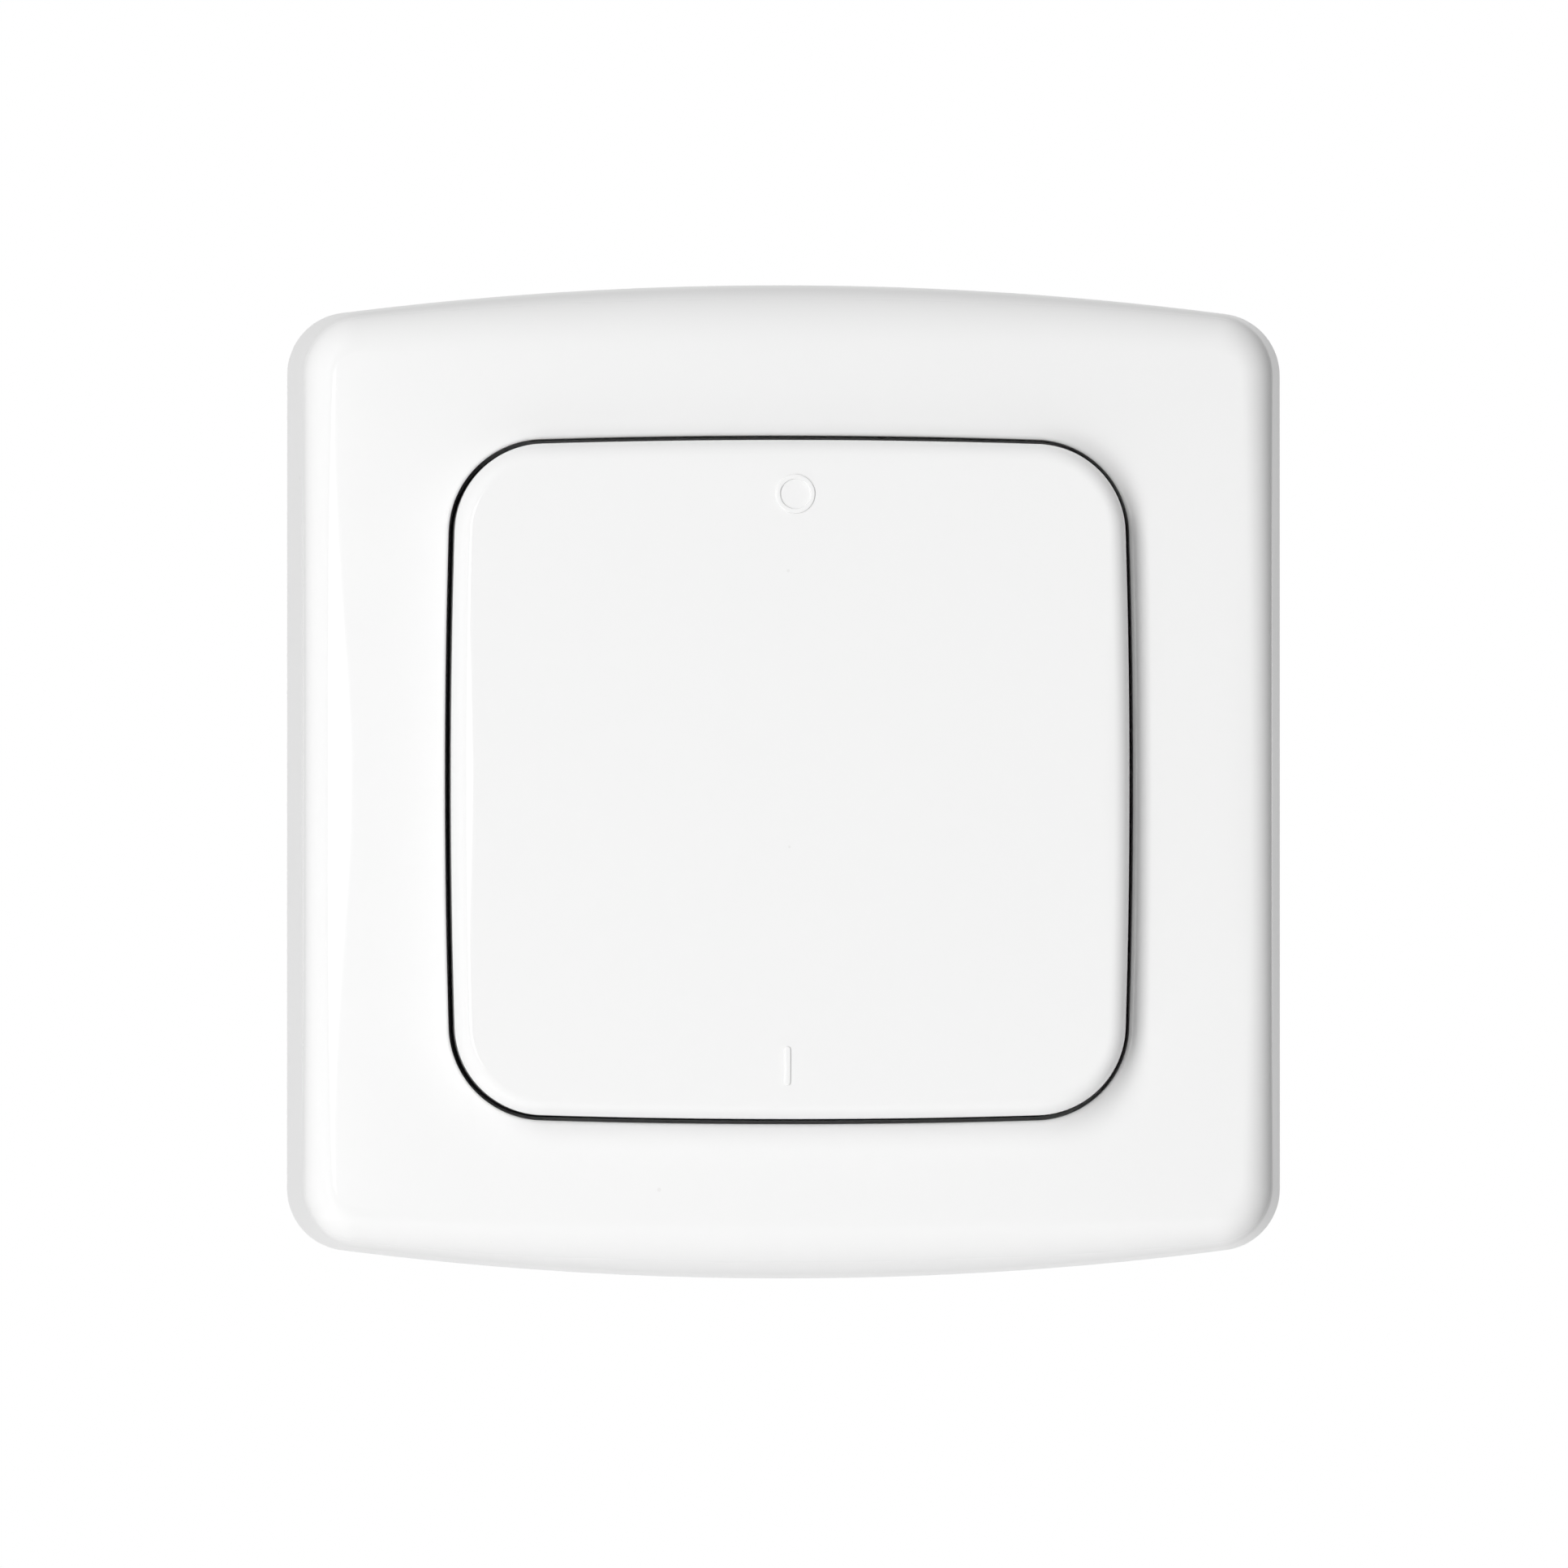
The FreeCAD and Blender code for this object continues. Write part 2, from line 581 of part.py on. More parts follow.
def rocker():
    """The one-piece rocker: a slightly domed face with a skirt, ribs, two posts and two pivot lugs."""
    block = rocker_block(0, skirt_bottom, rocker_face + OVERRUN)
    shell = domed_front(block, ROCKER_CROWN, rocker_face, ROCKER_EDGE_ROUND)
    shell = shell.cut(rocker_block(ROCKER_SKIRT, skirt_bottom - OVERRUN, rocker_ceiling))
    inside = rocker_block(ROCKER_SKIRT / 2, skirt_bottom, rocker_ceiling + ROCKER_SKIN / 2)
    adds = [rocker_post(y) for y in (switch_y, -switch_y)]
    rib_low = rocker_ceiling - ROCKER_RIB_HEIGHT
    for side in (-1, 1):
        place = side * ROCKER_RIB_SPACING / 2
        upright = centred_box(ROCKER_RIB_THICKNESS, ROCKER_HEIGHT, place, 0, rib_low, rocker_face)
        level = centred_box(ROCKER_WIDTH, ROCKER_RIB_THICKNESS, 0, place, rib_low, rocker_face)
        lug_face = cover_width / 2 + LUG_CLEARANCE
        reach = sorted((side * lug_face, side * ROCKER_WIDTH / 2))
        lug = box(reach, (-LUG_WIDTH / 2, LUG_WIDTH / 2), (skirt_bottom, rocker_face))
        adds += [piece.common(inside) for piece in (upright, level, lug)]
    return cut_away(joined(shell, *adds), pivot_socket(1), pivot_socket(-1))


def circuit_board():
    """The board with its holes for screws, switch leads, holder pegs and the antenna's ends."""
    board = slab(outline(board_width, board_length, BOARD_CORNER, board_bottom), BOARD_THICKNESS)
    low, high = board_bottom - OVERRUN, board_top + OVERRUN
    holes = [rod(SCREW_RADIUS + SCREW_CLEARANCE, x, y, low, high) for x, y in corners(screw_x, screw_y)]
    lead_hole = SWITCH_LEAD_WIDTH / 2 + LEAD_CLEARANCE
    lead_x = SWITCH_SIZE / 2 + SWITCH_LEAD_THICKNESS / 2
    for y in (switch_y, -switch_y):
        for x, dy in corners(lead_x, SWITCH_LEAD_PITCH / 2):
            holes.append(rod(lead_hole, x, y + dy, low, high))
    for y in (HOLDER_PEG_SPACING / 2, -HOLDER_PEG_SPACING / 2):
        holes.append(rod(HOLDER_PEG_RADIUS + LEAD_CLEARANCE / 2, 0, y, low, high))
    antenna_x = board_width / 2 - ANTENNA_EDGE_DISTANCE
    for y in (ANTENNA_SPAN / 2, -ANTENNA_SPAN / 2):
        holes.append(rod(ANTENNA_RADIUS + LEAD_CLEARANCE / 2, antenna_x, y, low, high))
    return cut_away(board, *holes)


def transmitter_screws():
    """Four small pan-head screws, driven from behind through base and board into the cover's bosses."""
    screws = []
    head_low = PLATE_THICKNESS + SCREW_HEAD_CLEARANCE
    head_top = head_low + SCREW_HEAD_HEIGHT
    for x, y in corners(screw_x, screw_y):
        screw = joined(
            rod(SCREW_HEAD_RADIUS, x, y, head_low, head_top),
            rod(SCREW_RADIUS, x, y, head_low, screw_end),
        )
        drive_top = head_low + DRIVE_DEPTH
        screw = cut_away(
            screw,
            centred_box(DRIVE_LENGTH, DRIVE_WIDTH, x, y, head_low - OVERRUN, drive_top),
            centred_box(DRIVE_WIDTH, DRIVE_LENGTH, x, y, head_low - OVERRUN, drive_top),
        )
        screws.append(screw)
    return Part.makeCompound(screws)


def switch_base(y):
    """The black moulded base of a tact switch with its four board leads."""
    base = centred_box(SWITCH_SIZE, SWITCH_SIZE, 0, y, board_top, switch_plate_bottom)
    cavity = rod(SWITCH_CAVITY_RADIUS, 0, y, switch_cavity_floor, switch_plate_bottom + OVERRUN)
    lead_top = board_top + SWITCH_LEAD_LEVEL
    leads = []
    for x, dy in corners(SWITCH_SIZE / 2, SWITCH_LEAD_PITCH / 2):
        side = math.copysign(1, x)
        across = sorted((x - side * SWITCH_LEAD_THICKNESS, x + side * SWITCH_LEAD_THICKNESS))
        along = (y + dy - SWITCH_LEAD_WIDTH / 2, y + dy + SWITCH_LEAD_WIDTH / 2)
        outer = sorted((x, x + side * SWITCH_LEAD_THICKNESS))
        leads.append(box(across, along, (lead_top - SWITCH_LEAD_THICKNESS, lead_top)))
        leads.append(box(outer, along, (lead_end, lead_top)))
    return cut_away(joined(base, *leads), cavity)


def switch_plate(y):
    """The steel plate that closes a tact switch, with two ears folded down over its base."""
    plate = centred_box(SWITCH_SIZE, SWITCH_SIZE, 0, y, switch_plate_bottom, switch_plate_top)
    ears = []
    ear_low = switch_plate_bottom - SWITCH_EAR_LENGTH
    for side in (-1, 1):
        inside = y + side * SWITCH_SIZE / 2
        across = sorted((inside, inside + side * SWITCH_PLATE))
        ears.append(box((-SWITCH_EAR_WIDTH / 2, SWITCH_EAR_WIDTH / 2), across, (ear_low, switch_plate_top)))
    hole_radius = PLUNGER_RADIUS + PLUNGER_CLEARANCE
    hole = rod(hole_radius, 0, y, switch_plate_bottom - OVERRUN, switch_plate_top + OVERRUN)
    return cut_away(joined(plate, *ears), hole)


def switch_dome(y):
    """The thin snap dome under a plunger, which clicks, closes the contact and pushes the plunger back."""
    profile = []
    for lift in (0, DOME_THICKNESS):
        rim = Vector(DOME_RADIUS, 0, switch_cavity_floor + lift)
        top = Vector(0, 0, switch_cavity_floor + DOME_RISE - DOME_THICKNESS + lift)
        curve = ((top.z - rim.z) ** 2 + DOME_RADIUS**2) / (2 * (top.z - rim.z))
        middle = Vector(curve * math.sin(math.asin(DOME_RADIUS / curve) / 2), 0, 0)
        middle.z = top.z - curve + math.sqrt(curve**2 - middle.x**2)
        profile.append((rim, middle, top))
    (rim, middle, top), (rim_up, middle_up, top_up) = profile
    edges = [
        Part.Arc(rim, middle, top).toShape(),
        Part.LineSegment(top, top_up).toShape(),
        Part.Arc(top_up, middle_up, rim_up).toShape(),
        Part.LineSegment(rim_up, rim).toShape(),
    ]
    dome = Part.Face(Part.Wire(edges)).revolve(Vector(0, 0, 0), Vector(0, 0, 1), 360)
    return dome.translated(Vector(0, y, 0))


def switch_plunger(y):
    """The button of a tact switch: a stem through the plate, a flange that stops it and a nub."""
    flange_high = switch_plate_bottom - PLUNGER_FLANGE_DROP
    flange_low = flange_high - PLUNGER_FLANGE_THICKNESS
    nub_low = switch_cavity_floor + DOME_RISE + DOME_CLEARANCE
    return joined(
        rod(PLUNGER_RADIUS, 0, y, flange_low, plunger_top),
        rod(PLUNGER_FLANGE_RADIUS, 0, y, flange_low, flange_high),
        rod(PLUNGER_NUB_RADIUS, 0, y, nub_low, flange_low),
    )


def coin_cell():
    """The coin cell, cap down: a can with rounded edges and a smaller cap."""
    can_low = cell_bottom + CELL_CAP_HEIGHT
    can = rod(CELL_RADIUS, 0, 0, can_low, cell_top)
    rims = [edge for edge in can.Edges if isinstance(edge.Curve, Part.Circle)]
    can = can.makeFillet(CELL_EDGE_ROUND, rims)
    return joined(can, rod(CELL_CAP_RADIUS, 0, 0, cell_bottom, can_low))


def holder_hook(angle):
    """A moulded hook on the holder's wall that reaches over the edge of the cell."""
    high = cell_top + HOLDER_HOOK_CLEARANCE + HOLDER_HOOK_THICKNESS
    wall_inside = CELL_RADIUS + HOLDER_CLEARANCE
    finger_end = CELL_RADIUS - HOLDER_HOOK_REACH
    across = (-HOLDER_HOOK_WIDTH / 2, HOLDER_HOOK_WIDTH / 2)
    upright = box((wall_inside, holder_radius), across, (board_top, high))
    finger = box((finger_end, holder_radius), across, (cell_top + HOLDER_HOOK_CLEARANCE, high))
    hook = joined(upright, finger).common(rod(holder_radius, 0, 0, board_top, high))
    return hook.rotated(Vector(0, 0, 0), Vector(0, 0, 1), angle)


def battery_holder():
    """The round cup on the board that holds the coin cell, with hooks, contact windows and board pegs."""
    wall_top = board_top + HOLDER_WALL_HEIGHT
    cup = rod(holder_radius, 0, 0, board_top, wall_top).cut(
        rod(CELL_RADIUS + HOLDER_CLEARANCE, 0, 0, holder_floor_top, wall_top + OVERRUN)
    )
    adds = [holder_hook(angle) for angle in (HOLDER_HOOK_ANGLE_DEG, -HOLDER_HOOK_ANGLE_DEG)]
    for y in (HOLDER_PEG_SPACING / 2, -HOLDER_PEG_SPACING / 2):
        adds.append(rod(HOLDER_PEG_RADIUS, 0, y, lead_end, board_top))
    window = CONTACT_WIDTH + 2 * CONTACT_WINDOW_CLEARANCE
    inside = CELL_RADIUS - HOLDER_CLEARANCE
    reach = holder_radius + OVERRUN
    right = box((inside, reach), (-window / 2, window / 2), (board_top - OVERRUN, wall_top + OVERRUN))
    left = box((-reach, -inside), (-window / 2, window / 2), (holder_floor_top, wall_top + OVERRUN))
    return cut_away(joined(cup, *adds), right, left)


def battery_side_contact():
    """The upright spring leaf that touches the side of the cell, with its foot on the board."""
    face = CELL_RADIUS + CONTACT_CLEARANCE
    foot = face + CONTACT_THICKNESS + CONTACT_FOOT
    high = cell_bottom + CELL_HEIGHT / 2 + CONTACT_RISE
    lean = HOLDER_CLEARANCE / 2
    outline_points = [
        (face + lean, board_top),
        (foot, board_top),
        (foot, board_top + CONTACT_THICKNESS),
        (face + lean + CONTACT_THICKNESS, board_top + CONTACT_THICKNESS),
        (face + CONTACT_THICKNESS, high - CONTACT_RISE),
        (face + lean + CONTACT_THICKNESS, high),
        (face + lean, high),
        (face, high - CONTACT_RISE),
    ]
    return strip(outline_points, CONTACT_WIDTH)


def battery_floor_contact():
    """The sprung strip under the cell's cap, with a tail over the holder's floor to the board."""
    top = holder_floor_top + CONTACT_RISE
    floor = holder_floor_top
    flat = CELL_CAP_RADIUS / 2
    ramp = CELL_CAP_RADIUS / 4
    tail = holder_radius + CONTACT_THICKNESS + CONTACT_CLEARANCE
    end = tail + CONTACT_FOOT
    thick = CONTACT_THICKNESS
    outline_points = [
        (flat, floor),
        (flat, floor + thick),
        (flat - ramp, top),
        (-flat + ramp, top),
        (-flat, floor + thick),
        (-tail, floor + thick),
        (-tail, board_top + thick),
        (-end, board_top + thick),
        (-end, board_top),
        (-tail + thick, board_top),
        (-tail + thick, floor),
        (-flat, floor),
        (-flat + ramp, top - thick),
        (flat - ramp, top - thick),
    ]
    return strip(outline_points, CONTACT_WIDTH)


def chip_lead(side, y, x):
    """One gull-wing lead of the encoder chip."""
    root = CHIP_WIDTH / 2
    shoulder = board_top + CHIP_STANDOFF + CHIP_HEIGHT / 2
    thick = CHIP_LEAD_THICKNESS
    knee = root + CHIP_LEAD_REACH / 3
    end = root + CHIP_LEAD_REACH
    profile = [
        (root - thick, shoulder + thick),
        (knee, shoulder + thick),
        (knee + thick, board_top + thick),
        (end, board_top + thick),
        (end, board_top),
        (knee, board_top),
        (knee - thick, shoulder),
        (root - thick, shoulder),
    ]
    return strip([(side * px, pz) for px, pz in profile], CHIP_LEAD_WIDTH, x, y)


def encoder_chip():
    """The chip that codes the radio message, on the left of the board, with seven leads a side."""
    x = -board_width / 2 + CHIP_EDGE_DISTANCE
    low = board_top + CHIP_STANDOFF
    body = centred_box(CHIP_WIDTH, CHIP_LENGTH, x, CHIP_RAISE, low, low + CHIP_HEIGHT)
    leads = []
    for i in range(CHIP_LEADS_PER_SIDE):
        y = CHIP_RAISE + (i - (CHIP_LEADS_PER_SIDE - 1) / 2) * CHIP_LEAD_PITCH
        leads += [chip_lead(side, y, x) for side in (-1, 1)]
    return joined(body, *leads)


def resonator():
    """The flat radio resonator that sets the transmitter's frequency: a ceramic base with a metal lid."""
    x = -board_width / 2 + CHIP_EDGE_DISTANCE
    lid_low = board_top + RESONATOR_HEIGHT - RESONATOR_LID_HEIGHT
    lid_size = RESONATOR_SIZE - 2 * RESONATOR_LID_INSET
    return joined(
        centred_box(RESONATOR_SIZE, RESONATOR_SIZE, x, -RESONATOR_LOWER, board_top, lid_low),
        centred_box(lid_size, lid_size, x, -RESONATOR_LOWER, lid_low, board_top + RESONATOR_HEIGHT),
    )


def transmit_transistor():
    """The small three-lead transistor that drives the antenna."""
    x = -board_width / 2 + CHIP_EDGE_DISTANCE
    y = -TRANSISTOR_LOWER
    low = board_top + CHIP_STANDOFF
    body = centred_box(TRANSISTOR_LENGTH, TRANSISTOR_WIDTH, x, y, low, low + TRANSISTOR_HEIGHT)
    leads = []
    lead_top = low + CHIP_LEAD_THICKNESS
    for dx, side in ((-1, -1), (1, -1), (0, 1)):
        lead_x = x + dx * TRANSISTOR_LENGTH / 3
        inside = y + side * TRANSISTOR_WIDTH / 2
        across = sorted((inside - side * TRANSISTOR_LEAD_REACH, inside + side * TRANSISTOR_LEAD_REACH))
        leads.append(
            box(
                (lead_x - TRANSISTOR_LEAD_WIDTH / 2, lead_x + TRANSISTOR_LEAD_WIDTH / 2),
                across,
                (board_top, lead_top),
            )
        )
    return joined(body, *leads)


def passive_row(y, height):
    """A row of chip resistors or capacitors, spread evenly from a switch to the right-hand screw boss."""
    margin = PASSIVE_CLEARANCE + PASSIVE_WIDTH / 2
    first = SWITCH_SIZE / 2 + SWITCH_LEAD_THICKNESS + margin
    last = screw_x - BOSS_RADIUS - margin
    parts = []
    for i in range(PASSIVE_COUNT):
        x = first + (last - first) * i / (PASSIVE_COUNT - 1)
        parts.append(centred_box(PASSIVE_WIDTH, PASSIVE_LENGTH, x, y, board_top, board_top + height))
    return Part.makeCompound(parts)


def antenna_loop():
    """The bent wire hoop at the right edge of the board that sends the radio message."""
    x = board_width / 2 - ANTENNA_EDGE_DISTANCE
    half = ANTENNA_SPAN / 2
    high = board_top + ANTENNA_HEIGHT
    bend = ANTENNA_BEND
    slack = bend * (1 - math.sqrt(0.5))

    def at(y, z):
        return Vector(x, y, z)

    def corner(side):
        """The bend at one end of the hoop, from its upright to its top."""
        start = at(side * half, high - bend)
        middle = at(side * (half - slack), high - slack)
        return Part.Arc(start, middle, at(side * (half - bend), high)).toShape()

    def upright(side):
        return Part.LineSegment(at(side * half, lead_end), at(side * half, high - bend)).toShape()

    top = Part.LineSegment(at(bend - half, high), at(half - bend, high)).toShape()
    path = Part.Wire([upright(-1), corner(-1), top, corner(1), upright(1)])
    section = Part.Wire(Part.makeCircle(ANTENNA_RADIUS, at(-half, lead_end), Vector(0, 0, 1)))
    return path.makePipeShell([section], True, False)


def all_pieces():
    """Every piece of the switch by name, lying on its back."""
    pieces = {
        "wall_plate": wall_plate(),
        "cover_frame": cover_frame(),
        "transmitter_base": transmitter_base(),
        "transmitter_cover": transmitter_cover(),
        "transmitter_screws": transmitter_screws(),
        "rocker": rocker(),
        "circuit_board": circuit_board(),
        "battery_holder": battery_holder(),
        "battery_side_contact": battery_side_contact(),
        "battery_floor_contact": battery_floor_contact(),
        "coin_cell": coin_cell(),
        "encoder_chip": encoder_chip(),
        "resonator": resonator(),
        "transmit_transistor": transmit_transistor(),
        "chip_resistors": passive_row(PASSIVE_ROW_REACH, RESISTOR_HEIGHT),
        "chip_capacitors": passive_row(-PASSIVE_ROW_REACH, CAPACITOR_HEIGHT),
        "antenna_loop": antenna_loop(),
    }
    for name, y in (("off_switch", switch_y), ("on_switch", -switch_y)):
        pieces[name + "_base"] = switch_base(y)
        pieces[name + "_plate"] = switch_plate(y)
        pieces[name + "_dome"] = switch_dome(y)
        pieces[name + "_plunger"] = switch_plunger(y)
    return pieces


def stood_up(shape):
    """Turned from lying on its back to hanging on the wall, with Z up and the front facing -Y."""
    return shape.rotated(Vector(0, 0, 0), Vector(1, 0, 0), 90)


os.makedirs("parts", exist_ok=True)
for name, shape in all_pieces().items():
    stood_up(shape).exportStep(os.path.join("parts", name + ".step"))
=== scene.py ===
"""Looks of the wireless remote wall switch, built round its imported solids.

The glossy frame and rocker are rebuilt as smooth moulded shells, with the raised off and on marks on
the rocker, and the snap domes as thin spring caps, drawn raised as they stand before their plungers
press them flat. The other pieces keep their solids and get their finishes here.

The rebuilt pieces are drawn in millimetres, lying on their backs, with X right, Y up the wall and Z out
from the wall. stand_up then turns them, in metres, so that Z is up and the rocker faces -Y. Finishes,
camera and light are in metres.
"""

import math

import bpy
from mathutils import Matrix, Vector


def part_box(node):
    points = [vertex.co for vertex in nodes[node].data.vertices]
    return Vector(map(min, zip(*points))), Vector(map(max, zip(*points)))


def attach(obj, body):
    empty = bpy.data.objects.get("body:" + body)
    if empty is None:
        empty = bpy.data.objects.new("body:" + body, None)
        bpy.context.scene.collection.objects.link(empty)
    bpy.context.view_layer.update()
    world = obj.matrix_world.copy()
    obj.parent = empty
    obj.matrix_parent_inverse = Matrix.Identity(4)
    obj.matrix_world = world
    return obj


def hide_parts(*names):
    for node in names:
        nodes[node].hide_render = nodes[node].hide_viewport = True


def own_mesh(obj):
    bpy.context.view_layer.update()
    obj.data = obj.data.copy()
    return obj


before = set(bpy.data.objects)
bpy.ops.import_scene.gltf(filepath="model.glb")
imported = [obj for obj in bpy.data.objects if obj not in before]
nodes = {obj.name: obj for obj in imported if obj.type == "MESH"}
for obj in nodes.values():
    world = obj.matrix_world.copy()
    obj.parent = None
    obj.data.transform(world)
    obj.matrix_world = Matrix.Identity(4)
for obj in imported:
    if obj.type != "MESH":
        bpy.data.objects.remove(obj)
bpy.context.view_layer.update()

MM = 0.001

# Cover frame
FRAME_WIDTH = 79.998
FRAME_HEIGHT = 79.978
FRAME_DEPTH = 11.8
FRAME_CORNER = 5.0
FRAME_END_BOW = 280.0
FRAME_CROWN = 800.0
FRAME_SIDE_LEAN = math.tan(math.radians(7.0))
FRAME_END_LEAN = math.tan(math.radians(2.5))
FRAME_SIDE_ROUND = 2.2
FRAME_END_ROUND = 5.8
FRAME_INNER_ROUND = 1.1
ROUND_CHANGE = 52.0  # degrees from level, seen from the frame's middle, where the rounding changes
ROUND_BLEND = 8.6  # degrees that set how gradual that change is
FRAME_SHOULDER = (2.0, math.radians(4.0))  # width and tilt where the rounding eases into the dome
FRAME_WALL = 2.4
FRAME_SKIN = 2.2
COLLAR_WALL = 2.0
COLLAR_LOW = 3.8
LEDGE_TOP = 5.0
APERTURE_SIZE = 49.3
APERTURE_CORNER = 3.25
LIP_ROUND = 0.3
FRAME_RIB_THICKNESS = 1.2
FRAME_RIB_SPACING = 30.0
FRAME_RIB_LOW = 4.1
FRAME_RIB_HIGH = 9.4
FRAME_RIB_INSIDE = 29.2
FRAME_RIB_OUTSIDE = 37.5

# Rocker
ROCKER_SIZE = 54.4
ROCKER_CORNER = 7.2
ROCKER_BOW = 650.0
ROCKER_CROWN = 1500.0
ROCKER_FACE = 14.99
ROCKER_EDGE_ROUND = 1.4
ROCKER_SHOULDER = (0.8, math.radians(6.0))
ROCKER_GAP = 0.4
ROCKER_SKIRT = 1.3
ROCKER_CEILING = 13.2
SKIRT_LOW = 7.2
ROCKER_RIB_THICKNESS = 0.9
ROCKER_RIB_SPACING = 20.0
ROCKER_RIB_LOW = 12.0
RIB_STEP = 0.05  # the level ribs end this much higher than the upright ones
POST_RADIUS = 1.6
POST_SPACING = 32.0
POST_LOW = 10.65
POST_TIP_ROUND = 0.8
POST_TIP_STEPS = 6
POST_SIDES = 32
LUG_WIDTH = 6.4
LUG_INSIDE = 25.5
SOCKET_INSIDE = 25.2
SOCKET_OUTSIDE = 26.8
SOCKET_RADIUS = 1.35
SOCKET_LEVEL = 9.0
SOCKET_STEPS = 24
MOUTH_DEPTH = 0.9
MOUTH_FLARE = 1.0
ROOT = 0.4  # how far an added rib, post or lug reaches into the moulding that carries it

# Raised marks on the rocker
MARK_RAISE = 0.13
MARK_SINK = 0.2
MARK_EDGE_ROUND = 0.08
MARK_ROUND_STEPS = 5
RING_PLACE = (0.35, 22.85)
RING_RADIUS = 1.58
RING_WIDTH = 0.39
RING_SIDES = 96
BAR_PLACE = (-0.27, -22.95)
BAR_SIZE = (0.5, 3.1)
BAR_SIDES = 48

# Snap domes of the two switches
DOME_THICKNESS = 0.1
DOME_STEPS = 8
DOME_SIDES = 64

# Steps of the outlines, a half side and a corner, and of the rounded edges
SIDE_STEPS = 22
CORNER_STEPS = 24
ROUND_STEPS = 16
SHOULDER_STEPS = 5
MIN_SHOULDER = 0.05  # what is left of a shoulder at the corners
LIP_STEPS = 6
SUPPORT = 0.06  # a narrow row beside a rounding keeps the shading of the wide face flat
SHARP_ANGLE = math.radians(32)

# Details in the finishes, in metres: across and up from the switch's middle, and out from the wall
SATIN_FROM = 0.0075  # the frame's sides are satin from the wall out to here
SATIN_FADE = 0.0037  # and turn glossy over this depth
SATIN = 0.26  # how much rougher satin is than gloss
EJECTOR_PLACE = 0.0265
EJECTOR_RADIUS = 0.0024
EJECTOR_CORE = 0.0022
CHIP_MIDDLE = -0.0169
CHIP_HALF_WIDTH = 0.00196
LEAD_FRONT = 0.00572
CHIP_ROW_PLACE = 0.0175
CHIP_BODY_HALF = 0.00062
LID_BACK = 0.0066

# Camera and light
CAMERA_AZIMUTH = -2.25  # degrees
CAMERA_ELEVATION = -0.8
CAMERA_DISTANCE = 2.5
VIEW_WIDTH = 0.12627
AIM = Vector((0.00002, 0.0, -0.00018))
SENSOR = 36.0
ROOM_LIGHT = 0.18
CEILING_LIGHT = 0.48  # what the room adds towards its ceiling
BACKDROP_EDGE = 0.75  # how far round behind the switch, as Y of a direction, its white backdrop starts
BACKDROP_FADE = 0.2
ROOM_IN_GLOSS = 0.35  # how bright the rest of the room is in reflections
FLOOR_HALF = 0.9
FLOOR_LEVEL = -0.7


# Outlines


def reach_along(half, bow, corner, across):
    """How far out a corner's centre lies along one axis, when it lies across from the other axis."""
    if bow is None:
        return half - corner
    return half - bow + math.sqrt((bow - corner) ** 2 - across**2)


def turn_at(half, bow, along, across):
    """The angle at which an edge that bows about the first axis meets the corner centred there."""
    if bow is None:
        return 0.0
    return math.atan2(across, along - half + bow)


def edge_points(half, bow, reach, turn):
    """Half an edge, from its middle to its corner, as points (along, across) with outward normals."""
    points = []
    for i in range(SIDE_STEPS):
        part = i / SIDE_STEPS
        if bow is None:
            points.append(((half, reach * part), (1.0, 0.0)))
        else:
            angle = turn * part
            normal = (math.cos(angle), math.sin(angle))
            points.append(((half - bow + bow * normal[0], bow * normal[1]), normal))
    return points


def outline(width, height, corner, side_bow=None, end_bow=None):
    """A closed rounded rectangle as points and outward normals, anticlockwise from the right-hand side."""
    half_w, half_h = width / 2, height / 2
    x = half_w - corner
    for _ in range(12):
        y = reach_along(half_h, end_bow, corner, x)
        x = reach_along(half_w, side_bow, corner, y)
    side_turn = turn_at(half_w, side_bow, x, y)
    end_turn = math.pi / 2 - turn_at(half_h, end_bow, y, x)
    quarter = edge_points(half_w, side_bow, y, side_turn)
    for i in range(CORNER_STEPS + 1):
        angle = side_turn + (end_turn - side_turn) * i / CORNER_STEPS
        normal = (math.cos(angle), math.sin(angle))
        quarter.append(((x + corner * normal[0], y + corner * normal[1]), normal))
    end = edge_points(half_h, end_bow, x, math.pi / 2 - end_turn)
    quarter += [((b, a), (d, c)) for (a, b), (c, d) in reversed(end)]
    points = []
    for sx, sy in ((1, 1), (-1, 1), (-1, -1), (1, -1)):
        run = quarter[:-1] if sx * sy > 0 else quarter[:0:-1]
        points += [((sx * px, sy * py), (sx * nx, sy * ny)) for (px, py), (nx, ny) in run]
    return points


def rocker_outline(inset):
    """The rocker's bowed outline, drawn in by inset."""
    size = ROCKER_SIZE - 2 * inset
    bow = ROCKER_BOW - inset
    return outline(size, size, ROCKER_CORNER - inset, bow, bow)


def frame_outline(inset, level):
    """The cover frame's outline at that level, drawn in by inset."""
    width = FRAME_WIDTH - 2 * (inset + FRAME_SIDE_LEAN * level)
    height = FRAME_HEIGHT - 2 * (inset + FRAME_END_LEAN * level)
    return outline(width, height, FRAME_CORNER - inset, None, FRAME_END_BOW - inset)


def frame_edge_round(x, y):
    """The radius of the frame's front edge: tight along the sides, full along the top and bottom."""
    angle = math.degrees(math.atan2(abs(y), abs(x)))
    part = 1 / (1 + math.exp((ROUND_CHANGE - angle) / ROUND_BLEND))
    return FRAME_SIDE_ROUND + (FRAME_END_ROUND - FRAME_SIDE_ROUND) * part


def frame_hollow_round(x, y):
    """The radius inside the frame's front edge, the same all round."""
    return FRAME_INNER_ROUND


def rocker_edge_round(x, y):
    """The radius of the rocker's edge, the same all round."""
    return ROCKER_EDGE_ROUND


